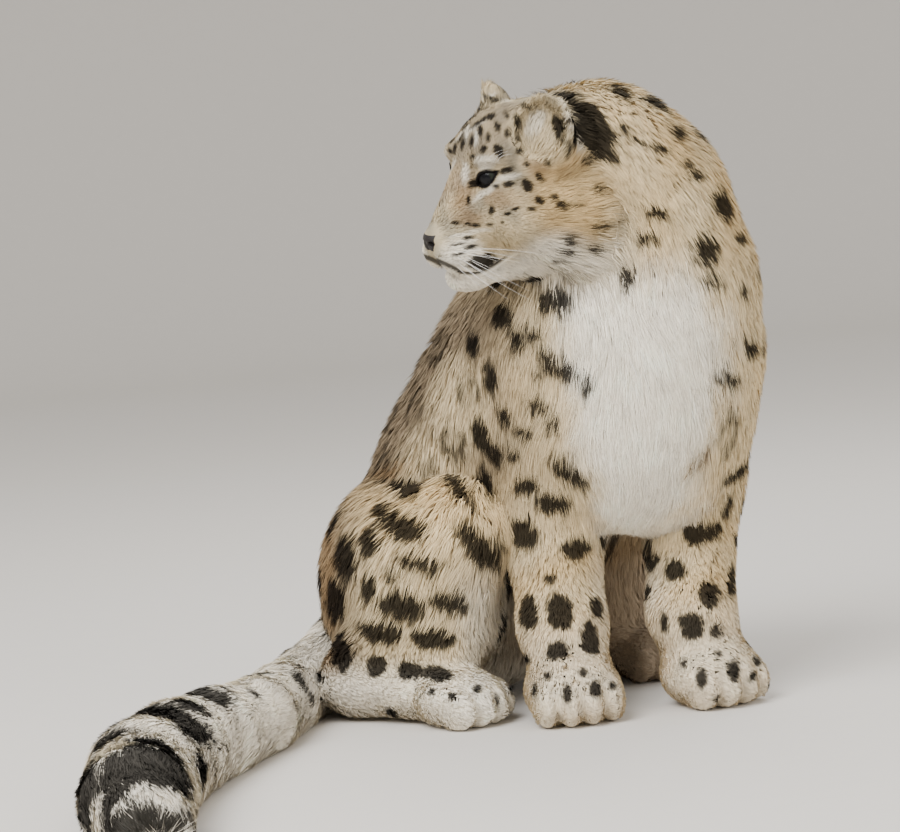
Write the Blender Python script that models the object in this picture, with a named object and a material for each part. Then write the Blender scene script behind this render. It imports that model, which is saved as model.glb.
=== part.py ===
"""A life-size snow leopard that sits on its haunches with its head turned to its right.

Built in metres, +Z up. While it is shaped, X runs to the right of the animal's front view, Y runs
away from the viewer and the point under the middle of the two forepaws is the zero. At the end
everything moves so that the zero is the middle of the bottom of the whole model's box.

The flesh and its short coat are one closed form, blended from balls, cones and eggs. Convex cells part
that form into named pieces, with a thin gap at every face.
"""

import math
import random

import bmesh
import bpy
import numpy as np
from mathutils import Matrix, Vector

# Driving dimensions, in metres and degrees
GAP = 0.0003
SEED = 7
SPACE = 2.0
BLOCK = 4
NEAR = 2.5
CROSSINGS = {
    1: (((0, 1), (0, 2), (0, 3)),),
    2: (((0, 2), (0, 3), (1, 3)), ((0, 2), (1, 3), (1, 2))),
    3: (((0, 3), (1, 3), (2, 3)),),
}
LEAN = 5.0
HEAD_CENTRE = (-0.098, 0.015, 0.612)
HEAD_YAW = -60.0
HEAD_PITCH = -13.0
HEAD_ROLL = -7.0
EYE_RADIUS = 0.0160
EYE_PLACE = (0.0838, 0.0315, 0.0368)
EYE_OUTWARD = 26.0
EYE_SLANT = 28.0
LID_DEPTH = 0.0028
EYE_HALF_WIDTH = 0.0152
LID_RISE = 0.0064
LID_FALL = 0.0066
EAR_PLACE = (0.025, 0.060, 0.078)
EAR_OUTWARD = 34.0
EAR_LEAN = 8.0
EAR_RADII = (0.023, 0.036, 0.040)
EAR_RIM = 0.010
NOSE_TIP = (0.1525, 0.0, -0.0265)
NOSE_RADII = (0.0105, 0.0155, 0.0115)
MOUTH_FRONT_X = 0.158
MOUTH_CORNER_X = 0.074
MOUTH_Z = -0.0475
MOUTH_DEPTH = 0.0050
MOUTH_WIDTH = 0.0030
MOUTH_SAG = 0.0195
MOUTH_FALL = 0.009
PELVIS = (-0.195, 0.255)
PELVIS_YAW = 45.0
FOOT_TURN = 8.0
PAW_RADII = (0.060, 0.056, 0.040)
PAW_TOP = 0.078
FOOT_TOP = 0.075
HIND_PAW_RADII = (0.054, 0.052, 0.037)
BODY_LOW = (-0.60, -0.72, -0.02)
BODY_HIGH = (0.26, 0.50, 0.80)
TAIL_RADII = (0.052, 0.050, 0.047, 0.047, 0.050, 0.056, 0.061, 0.064, 0.061, 0.046)
TAIL_CORE = 0.74
LOCK_SINK = 0.010
TAIL_LOCK = (0.098, 0.047, 0.0115)
BIB_LOCK = (0.085, 0.038, 0.0100)
CHEEK_LOCK = (0.062, 0.032, 0.0080)
LOCK_STATIONS = ((0.0, 0.0), (0.36, 0.62), (0.72, 0.94), (1.0, 1.0))
LOCK_WIDTHS = (0.72, 1.0, 0.74, 0.0)
LOCK_THICKNESS = (1.0, 1.0, 0.8, 0.0)
TAIL_LOCK_START = 0.120
TAIL_ROW = 0.84
TAIL_TURN = 44.0
TAIL_STAGGER = 11.0
ROOTING = 0.003
BIB_ROWS = 5
BIB_TOP = 0.470
LEATHER = (0.03, 0.025, 0.025)
EYE_DARK = (0.05, 0.06, 0.05)
EAR_FUR = (0.30, 0.28, 0.26)
FACE_FUR = (0.55, 0.50, 0.43)
PALE_FUR = (0.62, 0.57, 0.50)
FOOT_FUR = (0.70, 0.66, 0.58)
TAIL_FUR = (0.50, 0.48, 0.45)
BACK_FUR = (0.45, 0.41, 0.35)
TAIL_PATH = (
    (-0.285, 0.345, 0.100),
    (-0.345, 0.285, 0.056),
    (-0.388, 0.200, 0.045),
    (-0.408, 0.090, 0.045),
    (-0.428, -0.030, 0.048),
    (-0.465, -0.140, 0.054),
    (-0.497, -0.260, 0.059),
    (-0.512, -0.390, 0.062),
    (-0.505, -0.520, 0.059),
    (-0.480, -0.630, 0.044),
)


def vector(values):
    return np.array(values, float)


def join(first, second, blend):
    """Smooth union of two distance fields."""
    share = np.maximum(blend - np.abs(first - second), 0.0) / blend
    return np.minimum(first, second) - share * share * blend * 0.25


def meet(first, second, blend):
    """Smooth overlap of two distance fields."""
    return -join(-first, -second, blend)


def carve(body, tool, blend):
    """The body with the tool cut out of it, with a soft edge."""
    return meet(body, -tool, blend)


def limb(points, start, end, start_radius, end_radius):
    """Distance to a tapered rod with ball ends."""
    start = vector(start)
    along = vector(end) - start
    offset = points - start
    share = np.clip(offset @ along / (along @ along), 0.0, 1.0)
    reach = np.linalg.norm(offset - share[:, None] * along, axis=1)
    return reach - (start_radius + share * (end_radius - start_radius))


def egg(points, centre, radii, turn=None):
    """Distance to an ellipsoid. The columns of turn are its own axes."""
    offset = points - vector(centre)
    if turn is not None:
        offset = offset @ turn
    radii = vector(radii)
    near = np.linalg.norm(offset / radii, axis=1)
    slope = np.linalg.norm(offset / radii**2, axis=1) + 1e-9
    return near * (near - 1.0) / slope


def axes(yaw, pitch=0.0, roll=0.0):
    """Columns forward, left and up of a thing that faces the viewer at yaw 0 and turns to its left."""
    turn = Matrix.Rotation(math.radians(yaw - 90.0), 3, "Z")
    turn = turn @ Matrix.Rotation(math.radians(-pitch), 3, "Y")
    turn = turn @ Matrix.Rotation(math.radians(roll), 3, "X")
    return np.array(turn)


LEAN_TURN = np.array(Matrix.Rotation(math.radians(LEAN), 3, "Y"))
HEAD_TURN = LEAN_TURN @ axes(HEAD_YAW, HEAD_PITCH, HEAD_ROLL)
PELVIS_TURN = axes(PELVIS_YAW)


def leant(place):
    """Where a point of the upright body goes when the body leans to its left."""
    return LEAN_TURN @ vector(place)


def from_head(place):
    """World place of a point given forward, left and up in the head."""
    return leant(HEAD_CENTRE) + HEAD_TURN @ vector(place)


def from_pelvis(place):
    """World place of a point given forward, left and up of the pelvis, with the height from the floor."""
    return vector((*PELVIS, 0.0)) + PELVIS_TURN @ vector(place)


def eye_turn(side):
    """The eye's axes in the head: out through the pupil, to its left and up."""
    turn = Matrix.Rotation(math.radians(EYE_OUTWARD * side), 3, "Z")
    turn = turn @ Matrix.Rotation(math.radians(EYE_SLANT * side), 3, "X")
    return np.array(turn)


def ear_turn(side):
    """The ear's axes in the head: out of the cup, to its left and up to the tip."""
    turn = Matrix.Rotation(math.radians(EAR_OUTWARD * side), 3, "Z")
    turn = turn @ Matrix.Rotation(math.radians(-EAR_LEAN), 3, "Y")
    return np.array(turn)


def skull_form(half):
    """The head without its openings, in head axes, with the left and right sides folded together."""
    form = egg(half, (0.012, 0.0, 0.036), (0.082, 0.069, 0.067))
    form = join(form, egg(half, (0.057, 0.0, 0.050), (0.044, 0.054, 0.046)), 0.03)
    form = join(form, egg(half, (0.045, 0.048, -0.016), (0.052, 0.036, 0.044)), 0.03)
    form = join(form, egg(half, (0.000, 0.056, -0.034), (0.052, 0.036, 0.054)), 0.03)
    form = join(form, limb(half, (0.080, 0, 0.000), (0.128, 0, -0.034), 0.046, 0.031), 0.025)
    form = join(form, limb(half, (0.097, 0, 0.024), (0.1424, 0, -0.024), 0.024, 0.0155), 0.014)
    form = join(form, limb(half, (0.045, 0, -0.050), (0.106, 0, -0.072), 0.043, 0.022), 0.02)
    form = join(form, egg(half, (0.127, 0.0185, -0.046), (0.031, 0.0225, 0.024)), 0.010)
    form = join(form, egg(half, (0.117, 0.0, -0.078), (0.026, 0.022, 0.0175)), 0.010)
    form = join(form, egg(half, (0.086, 0.034, 0.056), (0.020, 0.021, 0.013)), 0.014)
    return form


def eye_form(form, half):
    """The lids round each eye and the opening between them."""
    turn = eye_turn(1)
    place = vector(EYE_PLACE)
    offset = (half - place) @ turn
    socket = egg(half, place + turn @ vector((0.020, 0.0, 0.0)), (0.012, 0.022, 0.014), turn)
    form = carve(form, socket, 0.010)
    ball = np.linalg.norm(offset, axis=1)
    form = join(form, ball - (EYE_RADIUS + LID_DEPTH), 0.005)
    width = 1.0 - (offset[:, 1] / EYE_HALF_WIDTH) ** 2
    opening = np.maximum(offset[:, 2] - LID_RISE * width, -offset[:, 2] - LID_FALL * width)
    opening = np.maximum(opening, 0.004 - offset[:, 0])
    opening = np.maximum(opening, ball - (EYE_RADIUS + 0.02))
    return np.maximum(form, -opening)


def ear_form(form, half):
    """A thin rounded cup that opens forward and outward."""
    turn = ear_turn(1)
    centre = vector(EAR_PLACE)
    cup = egg(half, centre, EAR_RADII, turn)
    cup = meet(cup, (half - centre) @ turn[:, 0] - EAR_RIM, 0.004)
    hollow_centre = centre + turn @ vector((0.014, 0.0, 0.002))
    hollow = egg(half, hollow_centre, (0.024, 0.0295, 0.0335), turn)
    root = limb(half, centre + turn @ vector((-0.004, 0, -0.022)), (0.020, 0.040, 0.042), 0.027, 0.032)
    form = join(form, join(cup, root, 0.012), 0.012)
    return carve(form, hollow, 0.003)


def nose_form(form, half):
    """The nose leather with its nostrils, and the groove that runs from it to the mouth."""
    tip = vector(NOSE_TIP)
    form = join(form, egg(half, tip, NOSE_RADII), 0.004)
    nostril = egg(half, tip + vector((0.009, 0.0080, -0.001)), (0.007, 0.0042, 0.0034))
    form = carve(form, nostril, 0.001)
    groove = np.exp(-((half[:, 1] / 0.0022) ** 2)) * np.clip((half[:, 0] - 0.125) / 0.01, 0.0, 1.0)
    groove = groove * np.clip((tip[2] + 0.002 - half[:, 2]) / 0.006, 0.0, 1.0)
    groove = groove * np.clip((half[:, 2] - MOUTH_Z + 0.010) / 0.006, 0.0, 1.0)
    return form + 0.0022 * groove


def mouth_line(half):
    """Height and slope of the mouth, which sinks from the nose to the cheek pads and rises at the corner."""
    length = MOUTH_FRONT_X - MOUTH_CORNER_X
    share = np.clip((MOUTH_FRONT_X - half[:, 0]) / length, 0.0, 1.0)
    height = MOUTH_Z - MOUTH_SAG * np.sin(math.pi * share) - MOUTH_FALL * share
    slope = (math.pi * MOUTH_SAG * np.cos(math.pi * share) + MOUTH_FALL) / length
    return height, slope


def mouth_form(form, half):
    """The line of the mouth, a groove between the lips."""
    height, slope = mouth_line(half)
    away = (half[:, 2] - height) / np.sqrt(1.0 + slope**2)
    groove = np.exp(-((away / MOUTH_WIDTH) ** 2))
    back = np.clip((half[:, 0] - MOUTH_CORNER_X) / 0.008, 0.0, 1.0)
    front = np.clip((MOUTH_FRONT_X + 0.002 - half[:, 0]) / 0.016, 0.0, 1.0)
    return form + MOUTH_DEPTH * groove * back * front


def head_form(points):
    """The whole head in world axes."""
    half = (points - leant(HEAD_CENTRE)) @ HEAD_TURN
    half[:, 1] = np.abs(half[:, 1])
    form = skull_form(half)
    form = ear_form(form, half)
    form = eye_form(form, half)
    form = nose_form(form, half)
    return mouth_form(form, half)


def trunk_form(points):
    """Chest, ribs, belly and rump, from front to back, and the neck."""
    upright = points @ LEAN_TURN
    chest = egg(upright, (0.004, 0.068, 0.375), (0.142, 0.126, 0.172))
    chest = join(chest, egg(upright, (-0.060, 0.120, 0.430), (0.145, 0.135, 0.150)), 0.06)
    chest = join(chest, egg(upright, (-0.110, 0.165, 0.345), (0.150, 0.145, 0.150)), 0.06)
    chest = join(chest, egg(upright, (-0.155, 0.215, 0.250), (0.155, 0.150, 0.150)), 0.06)
    neck = egg(upright, (0.012, 0.090, 0.500), (0.142, 0.128, 0.125))
    neck = join(neck, egg(upright, (0.006, 0.072, 0.600), (0.110, 0.105, 0.100)), 0.05)
    neck = join(neck, egg(upright, (-0.040, 0.050, 0.652), (0.090, 0.085, 0.085)), 0.05)
    trunk = join(chest, neck, 0.06)
    return join(trunk, egg(points, (*PELVIS, 0.145), (0.150, 0.145, 0.152)), 0.06)


def paw_form(points, centre, yaw, radii):
    """A broad forepaw or hind toe pad with four toes parted by grooves."""
    turn = axes(yaw)
    local = (points - vector(centre)) @ turn
    paw = egg(local, (0.0, 0.0, 0.0), radii)
    length, width, height = radii
    for toe in range(4):
        across = (toe - 1.5) / 1.5
        reach = 0.66 - 0.20 * across**2
        place = (length * reach, width * 0.68 * across, -height * 0.20)
        ball = egg(local, place, (length * 0.50, width * 0.30, height * 0.72))
        paw = join(paw, ball, 0.008)
    return paw


def foreleg_form(points, side):
    """Shoulder, arm and paw. Side is 1 for the animal's left."""
    if side > 0:
        shoulder, elbow = leant((0.072, 0.105, 0.405)), leant((0.072, 0.110, 0.265))
        wrist, paw, yaw = (0.083, 0.062, 0.105), (0.098, 0.040, 0.034), 38.0
    else:
        shoulder, elbow = leant((-0.078, 0.062, 0.405)), leant((-0.093, 0.070, 0.265))
        wrist, paw, yaw = (-0.068, 0.030, 0.105), (-0.062, -0.005, 0.034), 12.0
    arm = limb(points, shoulder, elbow, 0.086, 0.062)
    arm = join(arm, limb(points, elbow, wrist, 0.060, 0.050), 0.03)
    arm = join(arm, limb(points, wrist, vector(paw) + vector((0, 0.005, 0.02)), 0.050, 0.044), 0.02)
    return join(arm, paw_form(points, paw, yaw, PAW_RADII), 0.025)


def hindleg_form(points, side):
    """Haunch, shank and long foot. Side is 1 for the animal's left."""
    haunch = egg(points, from_pelvis((0.030, 0.105 * side, 0.152)), (0.138, 0.090, 0.135), PELVIS_TURN)
    hip = from_pelvis((0.050, 0.110 * side, 0.190))
    knee = from_pelvis((0.148, 0.120 * side, 0.228))
    hock = from_pelvis((0.012, 0.180 * side, 0.050))
    ball = from_pelvis((0.160, 0.160 * side, 0.031))
    leg = join(haunch, limb(points, hip, knee, 0.085, 0.060), 0.04)
    leg = join(leg, limb(points, knee, hock, 0.060, 0.045), 0.03)
    shank = from_pelvis((0.118, 0.142 * side, 0.078))
    leg = join(leg, limb(points, knee, shank, 0.058, 0.046), 0.03)
    foot = limb(points, hock, ball, 0.044, 0.031)
    foot = join(foot, paw_form(points, ball, PELVIS_YAW - FOOT_TURN * side, HIND_PAW_RADII), 0.012)
    return join(leg, foot, 0.02)


def core_share(joint):
    """How far the tail's dense core reaches at a joint, of the way out to the tips of its coat."""
    return max(TAIL_CORE, 1.0 - 0.16 * joint)


def core_joint(joint):
    """Middle and radius of the tail's core at a joint. The core rests on the floor as the coat does."""
    radius = TAIL_RADII[joint] * core_share(joint)
    return vector(TAIL_PATH[joint]) - vector((0, 0, TAIL_RADII[joint] - radius)), radius


def tail_form(points):
    """The core of the thick tail, which lies on the floor and curls forward."""
    form = None
    for i in range(len(TAIL_PATH) - 1):
        (start, start_radius), (end, end_radius) = core_joint(i), core_joint(i + 1)
        piece = limb(points, start, end, start_radius, end_radius)
        form = piece if form is None else join(form, piece, 0.012)
    return form


def body_form(points):
    """The whole animal as one distance field."""
    form = trunk_form(points)
    for side in (-1, 1):
        form = join(form, foreleg_form(points, side), 0.035)
    for side in (-1, 1):
        form = join(form, hindleg_form(points, side), 0.030)
    form = join(form, tail_form(points), 0.020)
    return join(form, head_form(points), 0.030)


def sample(form, low, high, step):
    """The field on a grid. It is worked out point by point only in the blocks near the surface."""
    blocks = np.ceil((high - low) / (BLOCK * step)).astype(int) + 1
    middle = low + step * (BLOCK - 1) / 2
    coarse = form(np.argwhere(np.ones(blocks, bool)) * BLOCK * step + middle).reshape(blocks)
    values = coarse
    for axis in range(3):
        values = np.repeat(values, BLOCK, axis)
    near = np.abs(values) < NEAR * BLOCK * step
    values[near] = form(np.argwhere(near) * step + low)
    for axis in range(3):
        edge = np.moveaxis(values, axis, 0)
        edge[0] = step
        edge[-1] = step
    return values


def surface_of(values, low, step):
    """Points and triangles of the closed surface where the sampled field is zero, cube by cube.

    Each cube of the grid is six tetrahedra along one diagonal, which leaves no gap and no double edge.
    """
    corners = np.array([(k & 1, k >> 1 & 1, k >> 2 & 1) for k in range(8)])
    inside = values < 0
    span = np.array(values.shape) - 1
    filled = sum(inside[x : x + span[0], y : y + span[1], z : z + span[2]].astype(int) for x, y, z in corners)
    cubes = np.argwhere((filled > 0) & (filled < 8))
    spots = np.stack([np.ravel_multi_index((cubes + corner).T, values.shape) for corner in corners], 1)
    level = values.ravel()
    pairs = []
    for first, second in ((1, 3), (1, 5), (2, 3), (2, 6), (4, 5), (4, 6)):
        tet = spots[:, (0, first, second, 7)]
        order = np.argsort(level[tet] >= 0, axis=1, kind="stable")
        tet = np.take_along_axis(tet, order, 1)
        count = (level[tet] < 0).sum(axis=1)
        for held, rings in CROSSINGS.items():
            chosen = tet[count == held]
            for ring in rings:
                pairs.append(np.stack([chosen[:, edge] for edge in ring], 1))
    pairs = np.concatenate(pairs)
    keys = pairs[..., 0] * level.size + pairs[..., 1]
    unique, number = np.unique(keys, return_inverse=True)
    ends = np.stack([unique // level.size, unique % level.size], 1)
    share = level[ends[:, 0]] / (level[ends[:, 0]] - level[ends[:, 1]])
    share = np.clip(share, 0.02, 0.98)[:, None]
    places = np.stack(np.unravel_index(ends, values.shape), -1) * step + low
    points = places[:, 0] * (1 - share) + places[:, 1] * share
    faces = number.reshape(-1, 3)
    normal = np.cross(points[faces[:, 1]] - points[faces[:, 0]], points[faces[:, 2]] - points[faces[:, 0]])
    outward = np.stack(np.unravel_index(pairs[:, 0, 1], values.shape), -1) - np.stack(
        np.unravel_index(pairs[:, 0, 0], values.shape), -1
    )
    back = (normal * outward).sum(axis=1) < 0
    faces[back] = faces[back][:, ::-1]
    return points, faces


def object_of(name, points, faces):
    mesh = bpy.data.meshes.new(name)
    mesh.from_pydata(points.tolist(), [], faces.tolist())
    shape = bpy.data.objects.new(name, mesh)
    bpy.context.scene.collection.objects.link(shape)
    return shape


def drop(shape):
    """Removes a helper object and its mesh."""
    mesh = shape.data
    bpy.data.objects.remove(shape)
    bpy.data.meshes.remove(mesh)


def bake(shape):
    """Replaces an object's mesh by what its modifiers make of it."""
    graph = bpy.context.evaluated_depsgraph_get()
    made = bpy.data.meshes.new_from_object(shape.evaluated_get(graph))
    old = shape.data
    shape.modifiers.clear()
    shape.data = made
    bpy.data.meshes.remove(old)


def combine(shape, other, operation):
    """Boolean of two closed meshes."""
    modifier = shape.modifiers.new("Boolean", "BOOLEAN")
    modifier.operation = operation
    modifier.object = other
    modifier.solver = "MANIFOLD"
    bake(shape)


def keep_largest(shape):
    """Drops every loose bit but the largest."""
    work = bmesh.new()
    work.from_mesh(shape.data)
    left = set(work.verts)
    parts = []
    while left:
        part = {left.pop()}
        edge = list(part)
        while edge:
            vert = edge.pop()
            for link in vert.link_edges:
                other = link.other_vert(vert)
                if other in left:
                    left.discard(other)
                    part.add(other)
                    edge.append(other)
        parts.append(part)
    parts.sort(key=len)
    for part in parts[:-1]:
        bmesh.ops.delete(work, geom=list(part), context="VERTS")
    bmesh.ops.triangulate(work, faces=work.faces[:])
    work.to_mesh(shape.data)
    work.free()


def box_planes(centre, turn, low, high):
    """The six planes of a box, each a point and its outward direction."""
    planes = []
    for axis in range(3):
        outward = turn[:, axis]
        planes.append((vector(centre) + outward * high[axis], outward))
        planes.append((vector(centre) + outward * low[axis], -outward))
    return planes


def cell_of(planes, growth):
    """The closed convex cell within the planes, each moved outward by the growth."""
    work = bmesh.new()
    bmesh.ops.create_cube(work, size=SPACE * 2)
    for point, outward in planes:
        geometry = work.verts[:] + work.edges[:] + work.faces[:]
        cut = bmesh.ops.bisect_plane(
            work,
            geom=geometry,
            dist=1e-7,
            plane_co=Vector(vector(point) + vector(outward) * growth),
            plane_no=Vector(outward),
            clear_outer=True,
        )
        edges = [item for item in cut["geom_cut"] if isinstance(item, bmesh.types.BMEdge)]
        if edges:
            bmesh.ops.contextual_create(work, geom=edges)
    bmesh.ops.recalc_face_normals(work, faces=work.faces[:])
    mesh = bpy.data.meshes.new("cell")
    work.to_mesh(mesh)
    work.free()
    cell = bpy.data.objects.new("cell", mesh)
    bpy.context.scene.collection.objects.link(cell)
    return cell


def bounds_of(shape):
    corners = np.array([vert.co[:] for vert in shape.data.vertices])
    return corners.min(axis=0), corners.max(axis=0)


def fleshed(name, low, high, step, triangles):
    """The animal's surface inside a box, as one closed mesh of about so many triangles."""
    start = low - step * 1.5
    points, faces = surface_of(sample(body_form, start, high + step * 2, step), start, step)
    shape = object_of(name, points, faces)
    modifier = shape.modifiers.new("Decimate", "DECIMATE")
    modifier.ratio = min(1.0, triangles / len(faces))
    modifier.use_collapse_triangulate = True
    bake(shape)
    return shape


def slope_of(form, points):
    """The outward direction of a form at some points."""
    slope = np.stack([form(points + step) - form(points - step) for step in np.eye(3) * 0.001], 1)
    return slope / np.linalg.norm(slope, axis=1)[:, None]


def landed(form, points):
    """The points moved onto the surface of a form."""
    for _ in range(8):
        points = points - slope_of(form, points) * form(points)[:, None]
    return points


def lock_shape(middles, sides, outs, half_wide, above, below):
    """One flat lock that tapers to a point, as a closed mesh. It has four stations from root to tip."""
    points = []
    for k in range(3):
        points += [middles[k] + sides[k] * half_wide[k], middles[k] + outs[k] * above[k]]
        points += [middles[k] - sides[k] * half_wide[k], middles[k] - outs[k] * below[k]]
    points.append(middles[3])
    faces = [(0, 1, 2), (0, 2, 3)]
    for ring in (0, 4):
        for k in range(4):
            near, far = ring + k, ring + (k + 1) % 4
            faces += [(near, near + 4, far + 4), (near, far + 4, far)]
    faces += [(8 + k, 12, 8 + (k + 1) % 4) for k in range(4)]
    work = bmesh.new()
    corners = [work.verts.new(point) for point in points]
    for face in faces:
        work.faces.new([corners[k] for k in face])
    bmesh.ops.recalc_face_normals(work, faces=work.faces[:])
    mesh = bpy.data.meshes.new("lock")
    work.to_mesh(mesh)
    work.free()
    return mesh


def lock_on(middles, outs, heights, size):
    """A lock of some width and thickness through four stations. All but its tip is rooted in the core."""
    width, thick = size
    sides = []
    for k in range(4):
        along = middles[min(k + 1, 3)] - middles[max(k - 1, 0)]
        side = np.cross(outs[k], along)
        sides.append(side / np.linalg.norm(side))
    wide = [width * share / 2 for share in LOCK_WIDTHS]
    deep = [thick * share / 2 for share in LOCK_THICKNESS]
    below = [deep[0], max(deep[1], heights[1] + ROOTING), max(deep[2], heights[2] * 0.6)]
    return lock_shape(middles, sides, outs, wide, deep, below)


def tail_place(distance, angle):
    """Surface of the core, outside of the coat and way out, so far along the tail and round it."""
    lengths = [np.linalg.norm(vector(b) - vector(a)) for a, b in zip(TAIL_PATH, TAIL_PATH[1:])]
    joint = 0
    while joint < len(lengths) - 1 and distance > lengths[joint]:
        distance -= lengths[joint]
        joint += 1
    share = distance / lengths[joint]
    start, end = vector(TAIL_PATH[joint]), vector(TAIL_PATH[joint + 1])
    (core_start, first), (core_end, second) = core_joint(joint), core_joint(joint + 1)
    reach = TAIL_RADII[joint] + (TAIL_RADII[joint + 1] - TAIL_RADII[joint]) * share
    core = first + (second - first) * share
    past = max(share - 1.0, 0.0) * lengths[joint] / (reach * 1.3)
    narrow = math.sqrt(max(1.0 - past**2, 0.02))
    along = (end - start) / lengths[joint]
    across = np.cross(along, (0, 0, 1))
    across = across / np.linalg.norm(across)
    out = across * math.sin(angle) + np.cross(across, along) * math.cos(angle)
    inner = core_start + (core_end - core_start) * share + out * core * narrow
    outer = start + (end - start) * share + out * (reach - TAIL_LOCK[2] / 2) * narrow
    return inner, outer, out


def tail_locks(draw):
    """Locks that point down the tail in staggered, uneven rows, and none under it."""
    total = sum(np.linalg.norm(vector(b) - vector(a)) for a, b in zip(TAIL_PATH, TAIL_PATH[1:]))
    locks = []
    row = 0
    distance = TAIL_LOCK_START
    while distance < total - 0.010:
        for k in range(6):
            turn = (k - 2.5) * TAIL_TURN + (TAIL_STAGGER if row % 2 else -TAIL_STAGGER)
            angle = math.radians(turn + draw.uniform(-5, 5))
            length = TAIL_LOCK[0] * draw.uniform(0.85, 1.12)
            start = distance + draw.uniform(-0.014, 0.014)
            middles = []
            outs = []
            heights = []
            for share, rise in LOCK_STATIONS:
                spread = angle + 0.06 * math.sin(row * 1.7 + k) * share
                inner, outer, out = tail_place(start + length * share, spread)
                middles.append(inner + (outer - inner) * rise - out * LOCK_SINK * (share == 0.0))
                outs.append(out)
                heights.append((outer - inner) @ out * rise)
            locks.append(lock_on(middles, outs, heights, TAIL_LOCK[1:]))
        distance += TAIL_LOCK[0] * TAIL_ROW
        row += 1
    return locks


def surface_locks(form, roots, lies, size, lift, draw):
    """Locks that start at the roots, follow the lie over the surface and stand off it towards their tips."""
    roots = landed(form, roots)
    locks = []
    for root, lie in zip(roots, lies):
        length = size[0] * draw.uniform(0.85, 1.15)
        place = root[None]
        middles = []
        outs = []
        before = 0.0
        for share, rise in LOCK_STATIONS:
            out = slope_of(form, place)[0]
            way = lie - out * (out @ lie)
            way = way / np.linalg.norm(way)
            place = landed(form, place + way * length * (share - before))
            before = share
            out = slope_of(form, place)[0]
            outs.append(out)
            middles.append(place[0] + out * (lift * rise - LOCK_SINK * (share == 0.0)))
        heights = [lift * rise for share, rise in LOCK_STATIONS]
        locks.append(lock_on(middles, outs, heights, (size[1] * draw.uniform(0.9, 1.1), size[2])))
    return locks


def bib_locks(draw):
    """The long white coat of the chest, in staggered rows that hang down to between the legs."""
    roots = []
    lies = []
    for row in range(BIB_ROWS):
        height = BIB_TOP - row * BIB_LOCK[0] * 0.62
        count = 4 + row % 2
        for k in range(count):
            across = (k - (count - 1) / 2) * BIB_LOCK[1] * 1.02
            middle = 0.010 - 0.030 * (BIB_ROWS - 1 - row) / BIB_ROWS
            roots.append(leant((middle + across, -0.08, height)))
            lies.append(leant((across * 1.2 + draw.uniform(-0.1, 0.1), 0.0, -1.0)))
    return surface_locks(body_form, np.array(roots), np.array(lies), BIB_LOCK, 0.013, draw)


def cheek_locks(draw):
    """The ruff behind and below each cheek."""
    roots = []
    lies = []
    for side in (-1, 1):
        for row in range(2):
            for k in range(3):
                place = (0.058 - 0.026 * k + 0.012 * row, side * 0.085, -0.030 - 0.026 * row + 0.014 * k)
                roots.append(from_head(place))
                lies.append(HEAD_TURN @ vector((-0.80, 0.25 * side, -0.50)))
    return surface_locks(body_form, np.array(roots), np.array(lies), CHEEK_LOCK, 0.005, draw)


def coat_over(shape, locks, low, high):
    """Fuses to a piece every lock that comes near its box."""
    group = bpy.data.collections.new("locks")
    bpy.context.scene.collection.children.link(group)
    for mesh in locks:
        corners = np.array([vert.co[:] for vert in mesh.vertices])
        if (corners.min(axis=0) < high).all() and (corners.max(axis=0) > low).all():
            group.objects.link(bpy.data.objects.new("lock", mesh))
    if group.objects:
        modifier = shape.modifiers.new("Boolean", "BOOLEAN")
        modifier.operation = "UNION"
        modifier.operand_type = "COLLECTION"
        modifier.collection = group
        modifier.solver = "MANIFOLD"
        bake(shape)
    for lock in list(group.objects):
        bpy.data.objects.remove(lock)
    bpy.data.collections.remove(group)


def upright_box(low, high):
    """Planes of a box along the world axes."""
    return box_planes((0, 0, 0), np.eye(3), low, high)


def head_box(low, high):
    """Planes of a box along the head's axes."""
    return box_planes(leant(HEAD_CENTRE), HEAD_TURN, low, high)


def ear_box(side):
    place = vector(EAR_PLACE) * vector((1, side, 1))
    turn = HEAD_TURN @ ear_turn(side)
    inward = turn @ vector((0.0, -0.6 * side, -0.8))
    low = from_head(place) + turn @ vector((0.0, -0.022 * side, -0.008))
    return box_planes(from_head(place), turn, (-0.034, -0.043, -0.030), (0.03, 0.043, 0.06)) + [(low, inward)]


def head_cell():
    """In front of a slanted plane behind the ears and the jaw."""
    back = HEAD_TURN @ vector((-0.913, 0.0, -0.408))
    return head_box((-0.15, -0.2, -0.108), (0.2, 0.2, 0.2)) + [(from_head((-0.020, 0, 0)), back)]


def foreleg_cell(side):
    """Between the paw and a plane that slants up to the outer side of the shoulder."""
    if side > 0:
        box = upright_box((0.012, -0.08, PAW_TOP), (0.21, 0.19, 0.33))
        return box + [((0.10, 0.09, 0.262), (-0.5, 0.0, 0.866))]
    box = upright_box((-0.142, -0.10, PAW_TOP), (0.008, 0.140, 0.33))
    return box + [((-0.08, 0.05, 0.268), (0.5, 0.0, 0.866))]


def paw_cell(centre, yaw):
    turn = axes(yaw)
    return box_planes((centre[0], centre[1], 0.0), turn, (-0.088, -0.075, 0.0), (0.10, 0.075, PAW_TOP))


def hindfoot_cell(side):
    middle = from_pelvis((0.086, 0.170 * side, 0.0))
    turn = axes(PELVIS_YAW - FOOT_TURN * side)
    return box_planes(middle, turn, (-0.135, -0.062, 0.0), (0.16, 0.062, FOOT_TOP))


def hindleg_cell(side):
    near, far = (0.062, 0.30) if side > 0 else (-0.30, -0.062)
    return box_planes((*PELVIS, 0.0), PELVIS_TURN, (-0.16, near, 0.0), (0.25, far, 0.315))


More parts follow.
